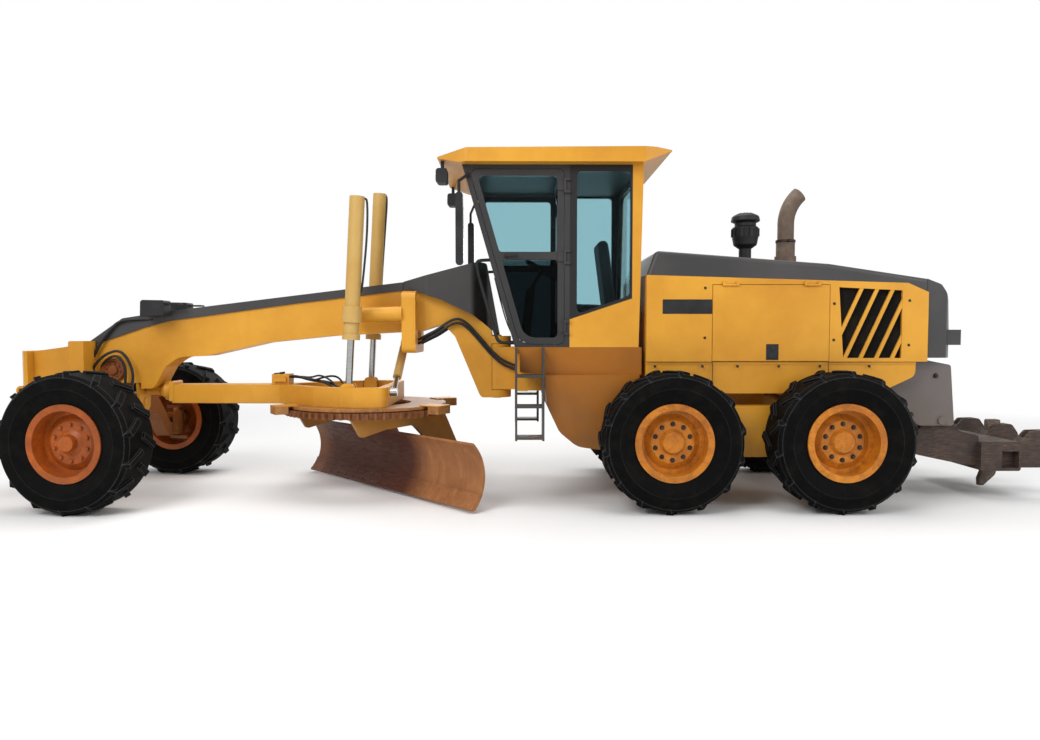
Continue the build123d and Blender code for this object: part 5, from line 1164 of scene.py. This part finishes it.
def wide_disc(bm):
    """Round floor that runs far past the view."""
    bmesh.ops.create_circle(bm, cap_ends=True, segments=96, radius=FLOOR_RADIUS)


def floor_finish(colour):
    """Pale floor that keeps the shadow and meets the white backdrop far out."""
    made = Finish("studio_floor", specular=0.0)
    made.set("Base Color", (*colour, 1.0))
    made.rough(made.patches(2.0, 0.3, 0.7, detail=3.0, rough=0.55), 0.88, 0.92)
    glow = made.add("ShaderNodeEmission", Strength=1.0)
    rays = made.add("ShaderNodeLightPath")
    distance = made.add("ShaderNodeVectorMath", operation="LENGTH")
    made.join(made.place, distance.inputs[0])
    seen = rays.outputs[SEEN_BY[0]]
    for kind in SEEN_BY[1:]:
        seen = made.either(seen, rays.outputs[kind])
    mix = made.add("ShaderNodeMixShader")
    made.join(made.times(made.span(distance.outputs["Value"], *FLOOR_FADE), seen), mix.inputs[0])
    made.join(made.shader.outputs[0], mix.inputs[1])
    made.join(glow.outputs[0], mix.inputs[2])
    made.join(mix.outputs[0], made.tree.nodes["Material Output"].inputs["Surface"])
    return made.material


def studio_world():
    """White backdrop that lights the object at a softer level than it shows."""
    world = bpy.data.worlds.new("studio")
    world.use_nodes = True
    tree = world.node_tree
    backdrop = tree.nodes["Background"]
    backdrop.inputs["Color"].default_value = (1.0, 1.0, 1.0, 1.0)
    rays = tree.nodes.new("ShaderNodeLightPath")
    seen = rays.outputs[SEEN_BY[0]]
    for kind in SEEN_BY[1:]:
        larger = tree.nodes.new("ShaderNodeMath")
        larger.operation = "MAXIMUM"
        tree.links.new(seen, larger.inputs[0])
        tree.links.new(rays.outputs[kind], larger.inputs[1])
        seen = larger.outputs["Value"]
    level = tree.nodes.new("ShaderNodeMapRange")
    level.inputs["To Min"].default_value = WORLD_LEVEL
    tree.links.new(seen, level.inputs["Value"])
    tree.links.new(level.outputs["Result"], backdrop.inputs["Strength"])
    return world


class GRADER_OT_stage(bpy.types.Operator):
    """Set the pale floor, the soft lamps and the camera"""

    bl_idname = "grader.stage"
    bl_label = "Stage"

    def execute(self, context):
        scene = context.scene
        scene.view_settings.view_transform = "Standard"
        scene.world = studio_world()

        floor = shown("floor", mesh_from("floor", wide_disc))
        floor.data.materials.append(floor_finish(scene.grader_colours.floor))

        for name, place, aim, width, power in LAMPS:
            lamp = bpy.data.lights.new(name, "AREA")
            lamp.shape = "DISK"
            lamp.size = width
            lamp.energy = power
            obj = shown(name, lamp)
            faced(obj, place, Vector(aim) - Vector(place))
            obj.visible_camera = False
            obj.visible_transmission = False

        camera = bpy.data.cameras.new("camera")
        camera.lens = scene.grader_sizes.camera_lens
        camera.sensor_width = 36.0
        scene.camera = shown("camera", camera)
        level = cos(CAMERA_DIP)
        way = (sin(CAMERA_YAW) * level, -cos(CAMERA_YAW) * level, -sin(CAMERA_DIP))
        faced(scene.camera, CAMERA_PLACE, way)
        return {"FINISHED"}


class GRADER_PT_panel(bpy.types.Panel):
    """List of what the looks add."""

    bl_label = "Motor grader"
    bl_idname = "GRADER_PT_panel"
    bl_space_type = "VIEW_3D"
    bl_region_type = "UI"
    bl_category = "Grader"

    def draw(self, context):
        for operator in OPERATORS:
            self.layout.operator(operator.bl_idname)
        for group in (context.scene.grader_colours, context.scene.grader_sizes):
            box = self.layout.box()
            for key in group.__annotations__:
                box.prop(group, key)


OPERATORS = (
    GRADER_OT_finishes,
    GRADER_OT_wheel_bolts,
    GRADER_OT_hoses,
    GRADER_OT_driver_place,
    GRADER_OT_cab_fittings,
    GRADER_OT_body_fittings,
    GRADER_OT_blade_fittings,
    GRADER_OT_stage,
)
CLASSES = (GraderColours, GraderSizes, *OPERATORS, GRADER_PT_panel)


def register():
    """Make the settings, the operators and the panel known."""
    for cls in CLASSES:
        bpy.utils.register_class(cls)
    bpy.types.Scene.grader_colours = PointerProperty(type=GraderColours)
    bpy.types.Scene.grader_sizes = PointerProperty(type=GraderSizes)


def unregister():
    """Take them away again."""
    del bpy.types.Scene.grader_sizes
    del bpy.types.Scene.grader_colours
    for cls in reversed(CLASSES):
        bpy.utils.unregister_class(cls)


def main():
    """Register and make every piece in order."""
    register()
    for operator in OPERATORS:
        group, name = operator.bl_idname.split(".")
        getattr(getattr(bpy.ops, group), name)()


if __name__ == "__main__":
    main()
